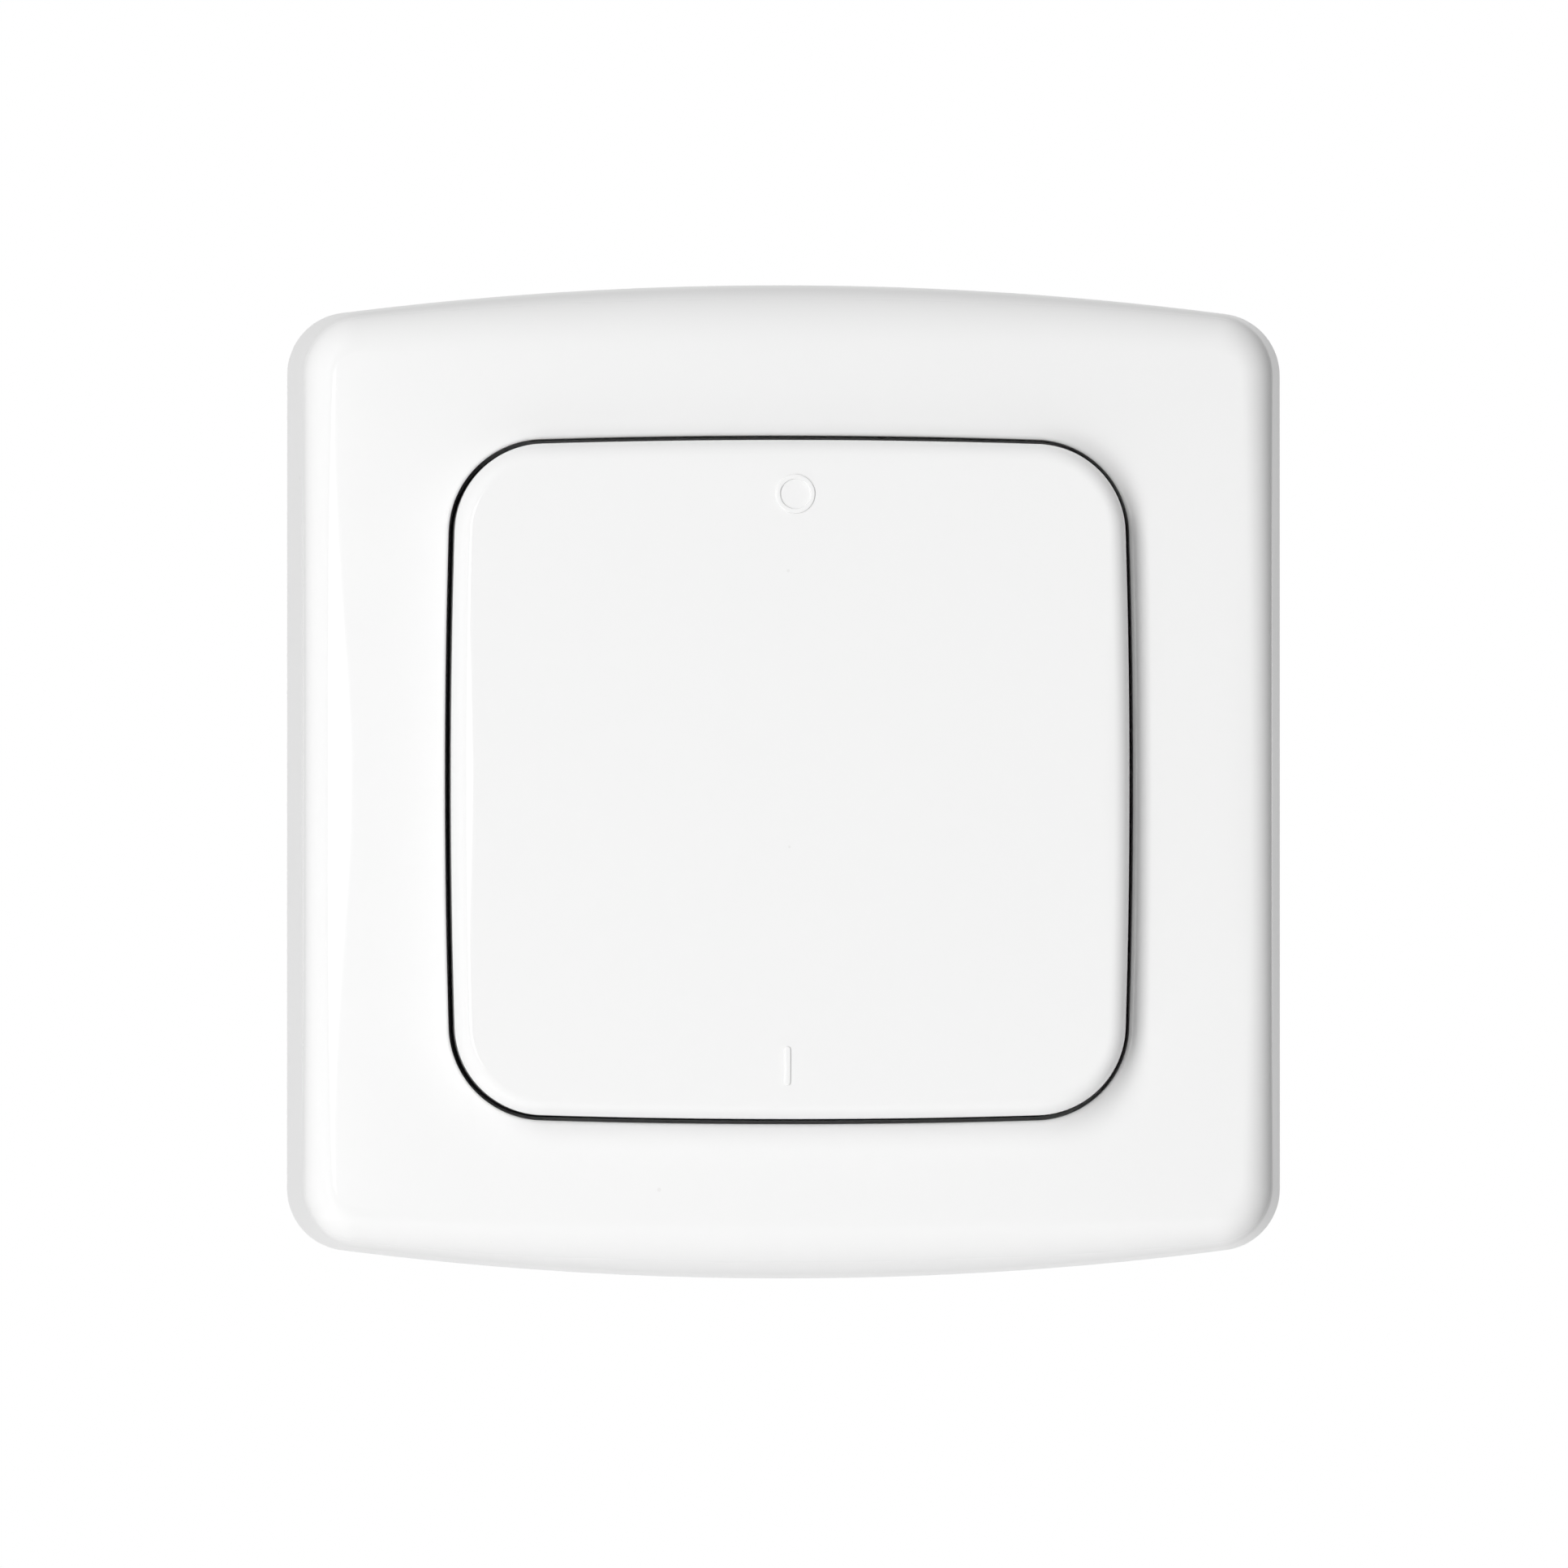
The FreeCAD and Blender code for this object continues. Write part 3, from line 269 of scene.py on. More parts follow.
def circle(sides, radius, centre=(0.0, 0.0)):
    """Points round a circle, anticlockwise."""
    turns = [2 * math.pi * j / sides for j in range(sides)]
    return [(centre[0] + radius * math.cos(turn), centre[1] + radius * math.sin(turn)) for turn in turns]


# Rows of points round the switch


def flat_row(points, level):
    return [Vector((x, y, level)) for (x, y), _ in points]


def dome_level(x, y, crown, apex):
    return apex - crown + math.sqrt(crown**2 - x * x - y * y)


def rocker_face_level(x, y):
    return dome_level(x, y, ROCKER_CROWN, ROCKER_FACE)


def rocker_ceiling_level(x, y):
    return ROCKER_CEILING


def turned(start, end, part):
    """The direction part of the way from one unit vector to another."""
    angle = start.angle(end)
    if angle < 1e-6:
        return start.copy()
    return (start * math.sin((1 - part) * angle) + end * math.sin(part * angle)) / math.sin(angle)


def rounded_rows(foot, top, height, crown, apex, radius_at, shoulder=(MIN_SHOULDER, 0.0)):
    """Rows that climb a leaning wall and roll over its rounded edge on to a dome.

    foot and top are the wall's outlines at level 0 and at that height. The rounding can end in a narrow
    shoulder, which is a little steeper than the dome and eases into it."""
    columns = []
    for ((x0, y0), (nx, ny)), ((x1, y1), _) in zip(foot, top):
        start = Vector((x0, y0, 0))
        climb = Vector(((x1 - x0) / height, (y1 - y0) / height, 1))
        outward = Vector((nx, ny, -(climb.x * nx + climb.y * ny))).normalized()
        away_from_corner = ((x0 * x0 - y0 * y0) / (x0 * x0 + y0 * y0)) ** 2
        width = MIN_SHOULDER + (shoulder[0] - MIN_SHOULDER) * away_from_corner
        tilt = shoulder[1] * away_from_corner
        column = edge_column(start, climb, outward, (nx, ny), crown, apex, radius_at(x0, y0), width, tilt)
        columns.append(column)
    return [list(row) for row in zip(*columns)]


def edge_column(start, climb, outward, plan, crown, apex, radius, shoulder, tilt):
    """One column of rounded_rows: the level of the rounding is found so that its end meets the dome."""
    dome_centre = Vector((0, 0, apex - crown))
    low, high = 0.0, apex
    for _ in range(40):
        level = (low + high) / 2
        ball = start + climb * level - outward * radius
        upward = (ball - dome_centre).normalized()
        upward = turned(upward, outward, tilt / upward.angle(outward))
        end = ball + upward * radius
        x, y = end.x - plan[0] * shoulder, end.y - plan[1] * shoulder
        meet = dome_level(x, y, crown, apex)
        steep = (upward.x * plan[0] + upward.y * plan[1]) / upward.z
        gentle = (x * plan[0] + y * plan[1]) / (meet - dome_centre.z)
        if end.z + shoulder * (steep + gentle) / 2 < meet:
            low = level
        else:
            high = level
    column = [start, start + climb * (level - SUPPORT)]
    for i in range(ROUND_STEPS + 1):
        column.append(ball + turned(outward, upward, i / ROUND_STEPS) * radius)
    for i in range(1, SHOULDER_STEPS + 1):
        run = shoulder * i / SHOULDER_STEPS
        rise = steep * run - (steep - gentle) * run * i / SHOULDER_STEPS / 2
        column.append(end + Vector((-plan[0] * run, -plan[1] * run, rise)))
    return column


def dome_rows(start, end, parts, crown, apex):
    """Rows on a dome that run from one row to another, at those parts of the way in plan."""
    rows = []
    for part in parts:
        row = []
        for a, b in zip(start, end):
            x, y = a.x + (b.x - a.x) * part, a.y + (b.y - a.y) * part
            row.append(Vector((x, y, dome_level(x, y, crown, apex))))
        rows.append(row)
    return rows


def lip_rows(points, radius, crown, apex):
    """Rows round the edge where a dome rolls over into an opening."""
    columns = []
    dome_centre = Vector((0, 0, apex - crown))
    for (x, y), (nx, ny) in points:
        bx, by = x + nx * radius, y + ny * radius
        ball = Vector((bx, by, dome_level(bx, by, crown - radius, apex - radius)))
        upward = (ball - dome_centre).normalized()
        inward = Vector((-nx, -ny, 0))
        steps = range(LIP_STEPS + 1)
        columns.append([ball + turned(upward, inward, i / LIP_STEPS) * radius for i in steps])
    return [list(row) for row in zip(*columns)]


def centre_rows(row, parts, level_at):
    """Rows that close in on the middle of the switch."""
    rows = []
    for part in parts:
        rows.append([Vector((p.x * part, p.y * part, level_at(p.x * part, p.y * part))) for p in row])
    return rows


# Meshes


def stand_up(point):
    """From lying on its back, in millimetres, to hanging on the wall, in metres."""
    return Vector((point.x, -point.z, point.y)) * MM


def mesh_from_rows(name, rows, closed=False, first_pole=None, last_pole=None):
    """Quads between rows of points, with the rows joined end to end or closed by poles."""
    count = len(rows[0])
    points = [stand_up(p) for row in rows for p in row]
    faces = []
    pairs = len(rows) if closed else len(rows) - 1
    for i in range(pairs):
        low, high = i * count, (i + 1) % len(rows) * count
        for j in range(count):
            k = (j + 1) % count
            faces.append((low + j, low + k, high + k, high + j))
    for pole, base, order in ((first_pole, 0, -1), (last_pole, (len(rows) - 1) * count, 1)):
        if pole is None:
            continue
        points.append(stand_up(pole))
        middle = len(points) - 1
        for j in range(count):
            fan = (base + j, base + (j + 1) % count, middle)
            faces.append(fan[::order])
    mesh = bpy.data.meshes.new(name)
    mesh.from_pydata([tuple(p) for p in points], [], faces)
    mesh.validate()
    return mesh


def smoothed(mesh):
    """Smooth shading with the real corners kept sharp."""
    mesh.polygons.foreach_set("use_smooth", [True] * len(mesh.polygons))
    mesh.set_sharp_from_angle(angle=SHARP_ANGLE)
    mesh.update()
    return mesh


def new_piece(name, mesh):
    piece = bpy.data.objects.new(name, mesh)
    bpy.context.scene.collection.objects.link(piece)
    return piece


def dressed(piece, body, slot, finish, *replaced):
    """The piece takes its finish, rides on its body and stands for the solids that it replaces."""
    piece.data.materials.clear()
    piece.data.materials.append(finish)
    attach(piece, body)
    if replaced:
        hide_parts(*replaced)
    return piece


# Geometry node trees


class Tree:
    """A geometry node tree with named inputs, which turns one piece into a plain mesh."""

    def __init__(self, name, sizes):
        self.group = bpy.data.node_groups.new(name, "GeometryNodeTree")
        interface = self.group.interface
        interface.new_socket("Geometry", in_out="INPUT", socket_type="NodeSocketGeometry")
        interface.new_socket("Geometry", in_out="OUTPUT", socket_type="NodeSocketGeometry")
        self.sizes = {}
        for label, value in sizes.items():
            socket = interface.new_socket(label, in_out="INPUT", socket_type="NodeSocketFloat")
            socket.default_value = value
            self.sizes[label] = (socket.identifier, value)
        self.inputs = self.group.nodes.new("NodeGroupInput").outputs
        self.output = self.group.nodes.new("NodeGroupOutput").inputs[0]

    def add(self, kind, settings=None, values=None, out=0):
        """Adds a node: its settings first, then the values or links of its sockets."""
        node = self.group.nodes.new(kind)
        for key, value in (settings or {}).items():
            setattr(node, key, value)
        for key, value in (values or {}).items():
            for item in value if isinstance(value, list) else [value]:
                if isinstance(item, bpy.types.NodeSocket):
                    self.group.links.new(item, node.inputs[key])
                else:
                    node.inputs[key].default_value = item
        return node.outputs[out]

    def sum(self, operation, first, second):
        return self.add("ShaderNodeMath", {"operation": operation}, {0: first, 1: second})

    def half(self, size):
        return self.sum("MULTIPLY", size, 0.5)

    def between(self, low, high):
        """The distance from one size to another, and the size midway."""
        return self.sum("SUBTRACT", high, low), self.half(self.sum("ADD", high, low))

    def block(self, x, y, z):
        return self.add("GeometryNodeMeshCube", None, {"Size": self.vector(x, y, z)})

    def shape_of(self, piece):
        return self.add("GeometryNodeObjectInfo", None, {"Object": piece}, "Geometry")

    def vector(self, x, y, z):
        return self.add("ShaderNodeCombineXYZ", None, {"X": x, "Y": y, "Z": z})

    def moved(self, geometry, place, turn=(0, 0, 0)):
        values = {"Geometry": geometry, "Translation": place, "Rotation": turn}
        return self.add("GeometryNodeTransform", None, values)

    def at_four_corners(self, item, x, y):
        """Copies of an item at (x, y), (-x, y), (x, -y) and (-x, -y)."""
        double_x = self.sum("MULTIPLY", x, 2.0)
        double_y = self.sum("MULTIPLY", y, 2.0)
        grid = {"Size X": double_x, "Size Y": double_y, "Vertices X": 2, "Vertices Y": 2}
        points = self.add("GeometryNodeMeshGrid", None, grid, "Mesh")
        return self.add("GeometryNodeInstanceOnPoints", None, {"Points": points, "Instance": item})

    def joined(self, *items):
        return self.add("GeometryNodeJoinGeometry", None, {"Geometry": list(items)})

    def boolean(self, operation, body, tools):
        real = self.add("GeometryNodeRealizeInstances", None, {"Geometry": tools})
        settings = {"operation": operation, "solver": "EXACT"}
        values = {"Mesh 2": [body, real]} if operation == "UNION" else {"Mesh 1": body, "Mesh 2": real}
        return self.add("GeometryNodeMeshBoolean", settings, {**values, "Self Intersection": True})

    def upright(self, geometry):
        """The same turn and scale as stand_up."""
        values = {"Geometry": geometry, "Rotation": (math.pi / 2, 0, 0), "Scale": (MM, MM, MM)}
        return self.add("GeometryNodeTransform", None, values)

    def finish(self, geometry, material):
        real = self.add("GeometryNodeRealizeInstances", None, {"Geometry": geometry})
        done = self.add("GeometryNodeSetMaterial", None, {"Geometry": real, "Material": material})
        self.group.links.new(done, self.output)

    def made(self, piece):
        """The tree's result on the piece as a plain mesh, with no modifier left."""
        modifier = piece.modifiers.new(self.group.name, "NODES")
        modifier.node_group = self.group
        for identifier, value in self.sizes.values():
            modifier[identifier] = value
        bpy.context.view_layer.update()
        graph = bpy.context.evaluated_depsgraph_get()
        mesh = bpy.data.meshes.new_from_object(piece.evaluated_get(graph))
        piece.modifiers.remove(modifier)
        piece.data = mesh
        return smoothed(mesh)


# Finishes


class Value:
    """A shader socket that takes part in sums."""

    def __init__(self, finish, socket):
        self.finish = finish
        self.socket = socket

    def sum(self, operation, first, second):
        return self.finish.add("ShaderNodeMath", {"operation": operation}, {0: first, 1: second})

    def __add__(self, other):
        return self.sum("ADD", self, other)

    def __radd__(self, other):
        return self.sum("ADD", other, self)

    def __sub__(self, other):
        return self.sum("SUBTRACT", self, other)

    def __rsub__(self, other):
        return self.sum("SUBTRACT", other, self)

    def __mul__(self, other):
        return self.sum("MULTIPLY", self, other)

    def __rmul__(self, other):
        return self.sum("MULTIPLY", other, self)

    def __abs__(self):
        return self.sum("ABSOLUTE", self, 0.0)

    def __lt__(self, other):
        return self.sum("LESS_THAN", self, other)

    def __gt__(self, other):
        return self.sum("GREATER_THAN", self, other)

    def above_zero(self):
        return self.sum("MAXIMUM", self, 0.0)


class Finish:
    """The node tree of one material, or of the world."""

    def __init__(self, owner):
        self.owner = owner
        owner.use_nodes = True
        self.tree = owner.node_tree
        self.tree.nodes.clear()

    def add(self, kind, settings=None, values=None, out=0):
        """Adds a node: its settings first, then the values or links of its sockets."""
        node = self.tree.nodes.new(kind)
        for key, value in (settings or {}).items():
            setattr(node, key, value)
        for key, value in (values or {}).items():
            if isinstance(value, Value):
                self.tree.links.new(value.socket, node.inputs[key])
            else:
                node.inputs[key].default_value = value
        if isinstance(out, tuple):
            return tuple(Value(self, node.outputs[name]) for name in out)
        return Value(self, node.outputs[out]) if node.outputs else None

    def place(self):
        """The point on the piece, in metres."""
        return self.add("ShaderNodeTexCoord", out="Object")

    def axes(self):
        """X, Y and Z of the point on the piece, in metres."""
        return self.add("ShaderNodeSeparateXYZ", None, {"Vector": self.place()}, ("X", "Y", "Z"))

    def stretched(self, x, y, z):
        values = {"Vector": self.place(), "Scale": (x, y, z)}
        return self.add("ShaderNodeMapping", None, values)

    def noise(self, scale, detail=3.0, roughness=0.55, place=None):
        values = {"Scale": scale, "Detail": detail, "Roughness": roughness}
        values["Vector"] = place or self.place()
        return self.add("ShaderNodeTexNoise", None, values)

    def specks(self, scale, size):
        """1 in small spots scattered at that scale, 0 elsewhere."""
        values = {"Vector": self.place(), "Scale": scale, "Randomness": 1.0}
        distance, tint = self.add("ShaderNodeTexVoronoi", None, values, ("Distance", "Color"))
        draw = self.add("ShaderNodeSeparateColor", None, {"Color": tint}, "Red")
        return (distance < size) * (draw > 0.72)

    def mixed(self, part, first, second):
        """A colour between two others."""
        values = {0: part, 6: first, 7: second}
        return self.add("ShaderNodeMix", {"data_type": "RGBA"}, values, 2)

    def eased(self, value, low, high):
        """0 below low, 1 above high and a soft change between them."""
        values = {"Value": value, "From Min": low, "From Max": high}
        return self.add("ShaderNodeMapRange", {"interpolation_type": "SMOOTHSTEP"}, values)

    def rays(self):
        """1 for a ray of each kind: from the camera, mirrored, and through something clear."""
        names = ("Is Camera Ray", "Is Glossy Ray", "Is Transmission Ray")
        return self.add("ShaderNodeLightPath", out=names)

    def bump(self, height, distance, strength=1.0, over=None):
        values = {"Height": height, "Distance": distance, "Strength": strength}
        if over is not None:
            values["Normal"] = over
        return self.add("ShaderNodeBump", None, values)

    def surface(self, **values):
        """The shader itself. Names are the sockets' names with _ for a space."""
        sockets = {key.replace("_", " "): value for key, value in values.items()}
        shader = self.add("ShaderNodeBsdfPrincipled", None, sockets)
        self.add("ShaderNodeOutputMaterial", None, {"Surface": shader})
        return self.owner


def grey(level, tint=(1.0, 1.0, 1.0)):
    return (level * tint[0], level * tint[1], level * tint[2], 1.0)


def new_finish(name):
    return Finish(bpy.data.materials.new(name))


def glossy_white_moulding(name, level, satin_from=0.0):
    """Polished white plastic: a trace of mould ripple under the gloss, faint clouding and a few specks.

    Between the wall and satin_from the drafted sides are satin, as they leave the mould."""
    f = new_finish(name)
    _, y, _ = f.axes()
    satin = f.eased(y, -satin_from - SATIN_FADE, -satin_from)
    clouds = f.noise(38.0, 2.0)
    colour = f.mixed(clouds, grey(level - 0.006), grey(level + 0.006, (1.0, 1.0, 0.997)))
    specks = f.specks(210.0, 0.035)
    colour = f.mixed(specks * 0.12, colour, grey(0.35, (1.0, 0.96, 0.9)))
    handling = f.noise(120.0, 4.0, 0.6)
    ripple = f.bump(f.noise(420.0, 2.0), 0.00001, 0.25)
    return f.surface(
        Base_Color=colour,
        Roughness=0.05 + handling * 0.04 + specks * 0.2 + satin * SATIN,
        Normal=ripple,
        IOR=1.5,
    )


def matt_moulding(name, colour, grain=2600.0, depth=0.00003, roughness=0.5):
    """Plastic from a spark-eroded mould: fine even grain and soft flow marks."""
    f = new_finish(name)
    flow = f.noise(45.0, 3.0, 0.5, f.stretched(1.0, 1.0, 0.35))
    light = tuple(min(1.0, c * 1.06) for c in colour)
    dark = tuple(c * 0.95 for c in colour)
    grains = f.noise(grain, 2.0, 0.6)
    return f.surface(
        Base_Color=f.mixed(flow, (*dark, 1.0), (*light, 1.0)),
        Roughness=roughness + grains * 0.14,
        Normal=f.bump(grains, depth, 0.6),
        IOR=1.5,
    )


def wall_plate_moulding(name, level):
    """Matt white plate plastic, with the round marks that ejector pins leave on its back."""
    f = new_finish(name)
    x, _, z = f.axes()
    across, up = abs(x) - EJECTOR_PLACE, abs(z) - EJECTOR_PLACE
    reach = across * across + up * up
    inside = reach < EJECTOR_RADIUS**2
    core = reach < EJECTOR_CORE**2
    ring = inside - core
    flow = f.noise(45.0, 3.0, 0.5)
    colour = f.mixed(flow, grey(level - 0.02), grey(level + 0.015, (1.0, 1.0, 0.985)))
    colour = f.mixed(ring * 0.25, colour, grey(level * 0.6))
    grains = f.noise(2400.0, 2.0, 0.6)
    fine = f.bump(grains, 0.00003, 0.6)
    return f.surface(
        Base_Color=colour,
        Roughness=0.46 + grains * 0.16 - inside * 0.12,
        Normal=f.bump(1.0 - inside, 0.0001, 0.8, fine),
        IOR=1.5,
    )


def solder_masked_board(name):
    """Green board with the lighter lines of copper tracks under its lacquer, and glass weave at its edge."""
    f = new_finish(name)
    values = {"Vector": f.place(), "Scale": 330.0, "Randomness": 0.35}
    edge = f.add("ShaderNodeTexVoronoi", {"feature": "DISTANCE_TO_EDGE"}, values, "Distance")
    tracks = edge < 0.07
    weave = f.noise(1800.0, 2.0)
    lacquer = f.mixed(weave, grey(1.0, (0.012, 0.1, 0.035)), grey(1.0, (0.018, 0.13, 0.05)))
    colour = f.mixed(tracks * 0.6, lacquer, grey(1.0, (0.05, 0.22, 0.08)))
    return f.surface(
        Base_Color=colour,
        Roughness=0.28 + weave * 0.1,
        Normal=f.bump(tracks, 0.00003, 0.5),
        IOR=1.5,
    )


def plated_metal(name, colour, roughness, lines=(1.0, 1.0, 1.0), scale=3000.0):
    """Plated sheet or wire, with fine drawing lines along one axis."""
    f = new_finish(name)
    drawn = f.noise(scale, 3.0, 0.65, f.stretched(*lines))
    dull = f.noise(160.0, 3.0)
    dark = tuple(c * 0.86 for c in colour)
    return f.surface(
        Base_Color=f.mixed(dull, (*dark, 1.0), (*colour, 1.0)),
        Metallic=1.0,
        Roughness=roughness - 0.06 + drawn * 0.14,
        Normal=f.bump(drawn, 0.00001, 0.3),
    )


def coin_cell_steel(name):
    """Nickel-plated cell steel, turned in fine rings round the middle of the cell."""
    f = new_finish(name)
    x, _, z = f.axes()
    radius = f.add("ShaderNodeMath", {"operation": "SQRT"}, {0: x * x + z * z})
    rings = f.noise(1.0, 2.0, 0.6, f.add("ShaderNodeCombineXYZ", None, {"X": radius * 9000.0}))
    marks = f.noise(260.0, 4.0, 0.6)
    return f.surface(
        Base_Color=f.mixed(marks, grey(0.58), grey(0.72, (1.0, 0.99, 0.97))),
        Metallic=1.0,
        Roughness=0.2 + rings * 0.12 + marks * 0.06,
        Normal=f.bump(rings, 0.00001, 0.4),
    )


def chip_package(name):
    """Matt black chip plastic with tinned leads, told apart by how far they reach from the chip's middle."""
    f = new_finish(name)
    x, y, _ = f.axes()
    wide = abs(x - CHIP_MIDDLE) > CHIP_HALF_WIDTH
    low = y > -LEAD_FRONT
    tinned = 1.0 - (1.0 - wide) * (1.0 - low)
    grains = f.noise(5200.0, 2.0, 0.6)
    body = f.mixed(grains, grey(0.018), grey(0.032))
    return f.surface(
        Base_Color=f.mixed(tinned, body, grey(0.66, (1.0, 0.99, 0.96))),
        Metallic=tinned,
        Roughness=0.55 + grains * 0.12 - tinned * 0.25,
        Normal=f.bump(grains, 0.00001, 0.4),
    )


def end_capped_ceramic(name, colour, shine):
    """A row of chip parts: glazed ceramic bodies between two tinned ends."""
    f = new_finish(name)
    _, _, z = f.axes()
    tinned = abs(abs(z) - CHIP_ROW_PLACE) > CHIP_BODY_HALF
    grains = f.noise(4200.0, 2.0)
    dark = tuple(c * 0.82 for c in colour)
    body = f.mixed(grains, (*dark, 1.0), (*colour, 1.0))
    return f.surface(
        Base_Color=f.mixed(tinned, body, grey(0.7, (1.0, 0.99, 0.96))),
        Metallic=tinned,
        Roughness=shine + grains * 0.12,
        Normal=f.bump(grains, 0.00001, 0.3),
    )


def resonator_finish(name):
    """A gilded metal lid on a pale ceramic base."""
    f = new_finish(name)
    _, y, _ = f.axes()
    lid = y < -LID_BACK
    grains = f.noise(3800.0, 2.0)
    base = f.mixed(grains, grey(0.62, (1.0, 0.96, 0.88)), grey(0.7, (1.0, 0.97, 0.9)))
    gilt = f.mixed(grains, grey(1.0, (0.72, 0.52, 0.2)), grey(1.0, (0.82, 0.62, 0.27)))
    return f.surface(
        Base_Color=f.mixed(lid, base, gilt),
        Metallic=lid,
        Roughness=0.45 + grains * 0.1 - lid * 0.2,
        Normal=f.bump(grains, 0.00001, 0.3),
    )


frame_gloss = glossy_white_moulding("frame_gloss", 0.885, SATIN_FROM)
rocker_gloss = glossy_white_moulding("rocker_gloss", 0.885)


# Cover frame


def frame_shell():
    """The frame's moulded shell: leaning walls, rounded edge, dome, lip, ledge, collar and hollow back."""
    top = FRAME_DEPTH
    opening = rocker_outline(-ROCKER_GAP)
    aperture = outline(APERTURE_SIZE, APERTURE_SIZE, APERTURE_CORNER)
    collar = rocker_outline(-ROCKER_GAP - COLLAR_WALL)
    foot, head = frame_outline(0, 0), frame_outline(0, top)
    rows = rounded_rows(foot, head, top, FRAME_CROWN, top, frame_edge_round, FRAME_SHOULDER)
    lip = lip_rows(opening, LIP_ROUND, FRAME_CROWN, top)
    parts = (0.02, 0.1, 0.3, 0.55, 0.8, 0.95, 0.99)
    rows += dome_rows(rows[-1], lip[0], parts, FRAME_CROWN, top)
    rows += lip
    rows.append([p - Vector((0, 0, SUPPORT)) for p in lip[-1]])
    rows.append(flat_row(opening, LEDGE_TOP))
    rows.append(flat_row(aperture, LEDGE_TOP))
    rows.append(flat_row(aperture, COLLAR_LOW))
    rows.append(flat_row(collar, COLLAR_LOW))
    ceiling = top - FRAME_SKIN
    foot, head = frame_outline(FRAME_WALL, 0), frame_outline(FRAME_WALL, top)
    hollow = rounded_rows(foot, head, top, FRAME_CROWN, ceiling, frame_hollow_round)
    inner_edge = [Vector((x, y, dome_level(x, y, FRAME_CROWN, ceiling))) for (x, y), _ in collar]
    rows.append(inner_edge)
    rows += dome_rows(inner_edge, hollow[-1], (0.33, 0.66, 0.98), FRAME_CROWN, ceiling)
    rows += reversed(hollow)
    return mesh_from_rows("cover_shell", rows, closed=True)


def frame_rib_tree():
    """Eight stiffening ribs, two on each side, joined to the frame between its collar and its walls."""
    sizes = {
        "Rib thickness": FRAME_RIB_THICKNESS,
        "Rib spacing": FRAME_RIB_SPACING,
        "Rib inside": FRAME_RIB_INSIDE,
        "Rib outside": FRAME_RIB_OUTSIDE,
        "Rib low": FRAME_RIB_LOW,
        "Rib high": FRAME_RIB_HIGH,
    }
    tree = Tree("frame_ribs", sizes)
    size = tree.inputs
    length, middle = tree.between(size["Rib inside"], size["Rib outside"])
    height, level = tree.between(size["Rib low"], size["Rib high"])
    rib = tree.block(size["Rib thickness"], length, height)
    ends = tree.at_four_corners(rib, tree.half(size["Rib spacing"]), middle)
    sides = tree.moved(ends, (0, 0, 0), (0, 0, math.pi / 2))
    ribs = tree.moved(tree.joined(ends, sides), tree.vector(0.0, 0.0, level))
    whole = tree.boolean("UNION", size["Geometry"], tree.upright(ribs))
    tree.finish(whole, frame_gloss)
    return tree


cover_shell = new_piece("cover_shell", frame_shell())
frame_rib_tree().made(cover_shell)
dressed(cover_shell, "housing", "frame_plastic", frame_gloss, "cover_frame")


# Rocker


def rocker_shell():
    """The rocker's moulded shell: domed face with a rounded edge, straight skirt and flat ceiling inside."""
    inner = rocker_outline(ROCKER_SKIRT)
    outer = rocker_outline(0)
    ceiling = flat_row(inner, ROCKER_CEILING)
    rows = centre_rows(ceiling, (0.3, 0.65, 1.0), rocker_ceiling_level)
    rows.append(flat_row(inner, SKIRT_LOW))
    edge = rounded_rows(
        outer, outer, 1.0, ROCKER_CROWN, ROCKER_FACE, rocker_edge_round, ROCKER_SHOULDER
    )
    rows.append(flat_row(outer, SKIRT_LOW))
    rows += edge[1:]
    parts = (0.995, 0.97, 0.9, 0.78, 0.62, 0.45, 0.28, 0.12)
    rows += centre_rows(edge[-1], parts, rocker_face_level)
    return mesh_from_rows(
        "rocker_shell",
        rows,
        first_pole=Vector((0, 0, ROCKER_CEILING)),
        last_pole=Vector((0, 0, ROCKER_FACE)),
    )


def rocker_post():
    """A round post with a rounded tip, standing at the origin."""
    flat = POST_RADIUS - POST_TIP_ROUND
    profile = [(flat * 0.5, 0.0), (flat, 0.0)]
    for i in range(1, POST_TIP_STEPS + 1):
        angle = math.pi / 2 * i / POST_TIP_STEPS
        out = flat + POST_TIP_ROUND * math.sin(angle)
        profile.append((out, POST_TIP_ROUND * (1 - math.cos(angle))))
    profile.append((POST_RADIUS, ROCKER_CEILING + ROOT - POST_LOW))
    rows = []
    for radius, height in profile:
        rows.append([Vector((x, y, height + POST_LOW)) for x, y in circle(POST_SIDES, radius)])
    return mesh_from_rows(
        "rocker_post",
        rows,
        first_pole=Vector((0, 0, POST_LOW)),
        last_pole=Vector((0, 0, ROCKER_CEILING + ROOT)),
    )


def pivot_socket(side):
    """The blind bore and flared mouth in one lug, as a closed cutter."""
    throat = math.sqrt(SOCKET_RADIUS**2 - MOUTH_DEPTH**2)
    start = math.atan2(-MOUTH_DEPTH, throat)
    foot = SKIRT_LOW - 1.0
    profile = []
    for i in range(SOCKET_STEPS + 1):
        angle = start + (math.pi - 2 * start) * i / SOCKET_STEPS
        profile.append((SOCKET_RADIUS * math.cos(angle), SOCKET_LEVEL + SOCKET_RADIUS * math.sin(angle)))
    profile.append((-throat - MOUTH_FLARE, foot))
    profile.append((throat + MOUTH_FLARE, foot))
    ends = sorted((side * SOCKET_INSIDE, side * SOCKET_OUTSIDE))
    rows = [[Vector((x, y, z)) for y, z in profile] for x in ends]
    poles = [Vector((x, 0, SOCKET_LEVEL)) for x in ends]
    return mesh_from_rows("pivot_socket", rows, first_pole=poles[0], last_pole=poles[1])


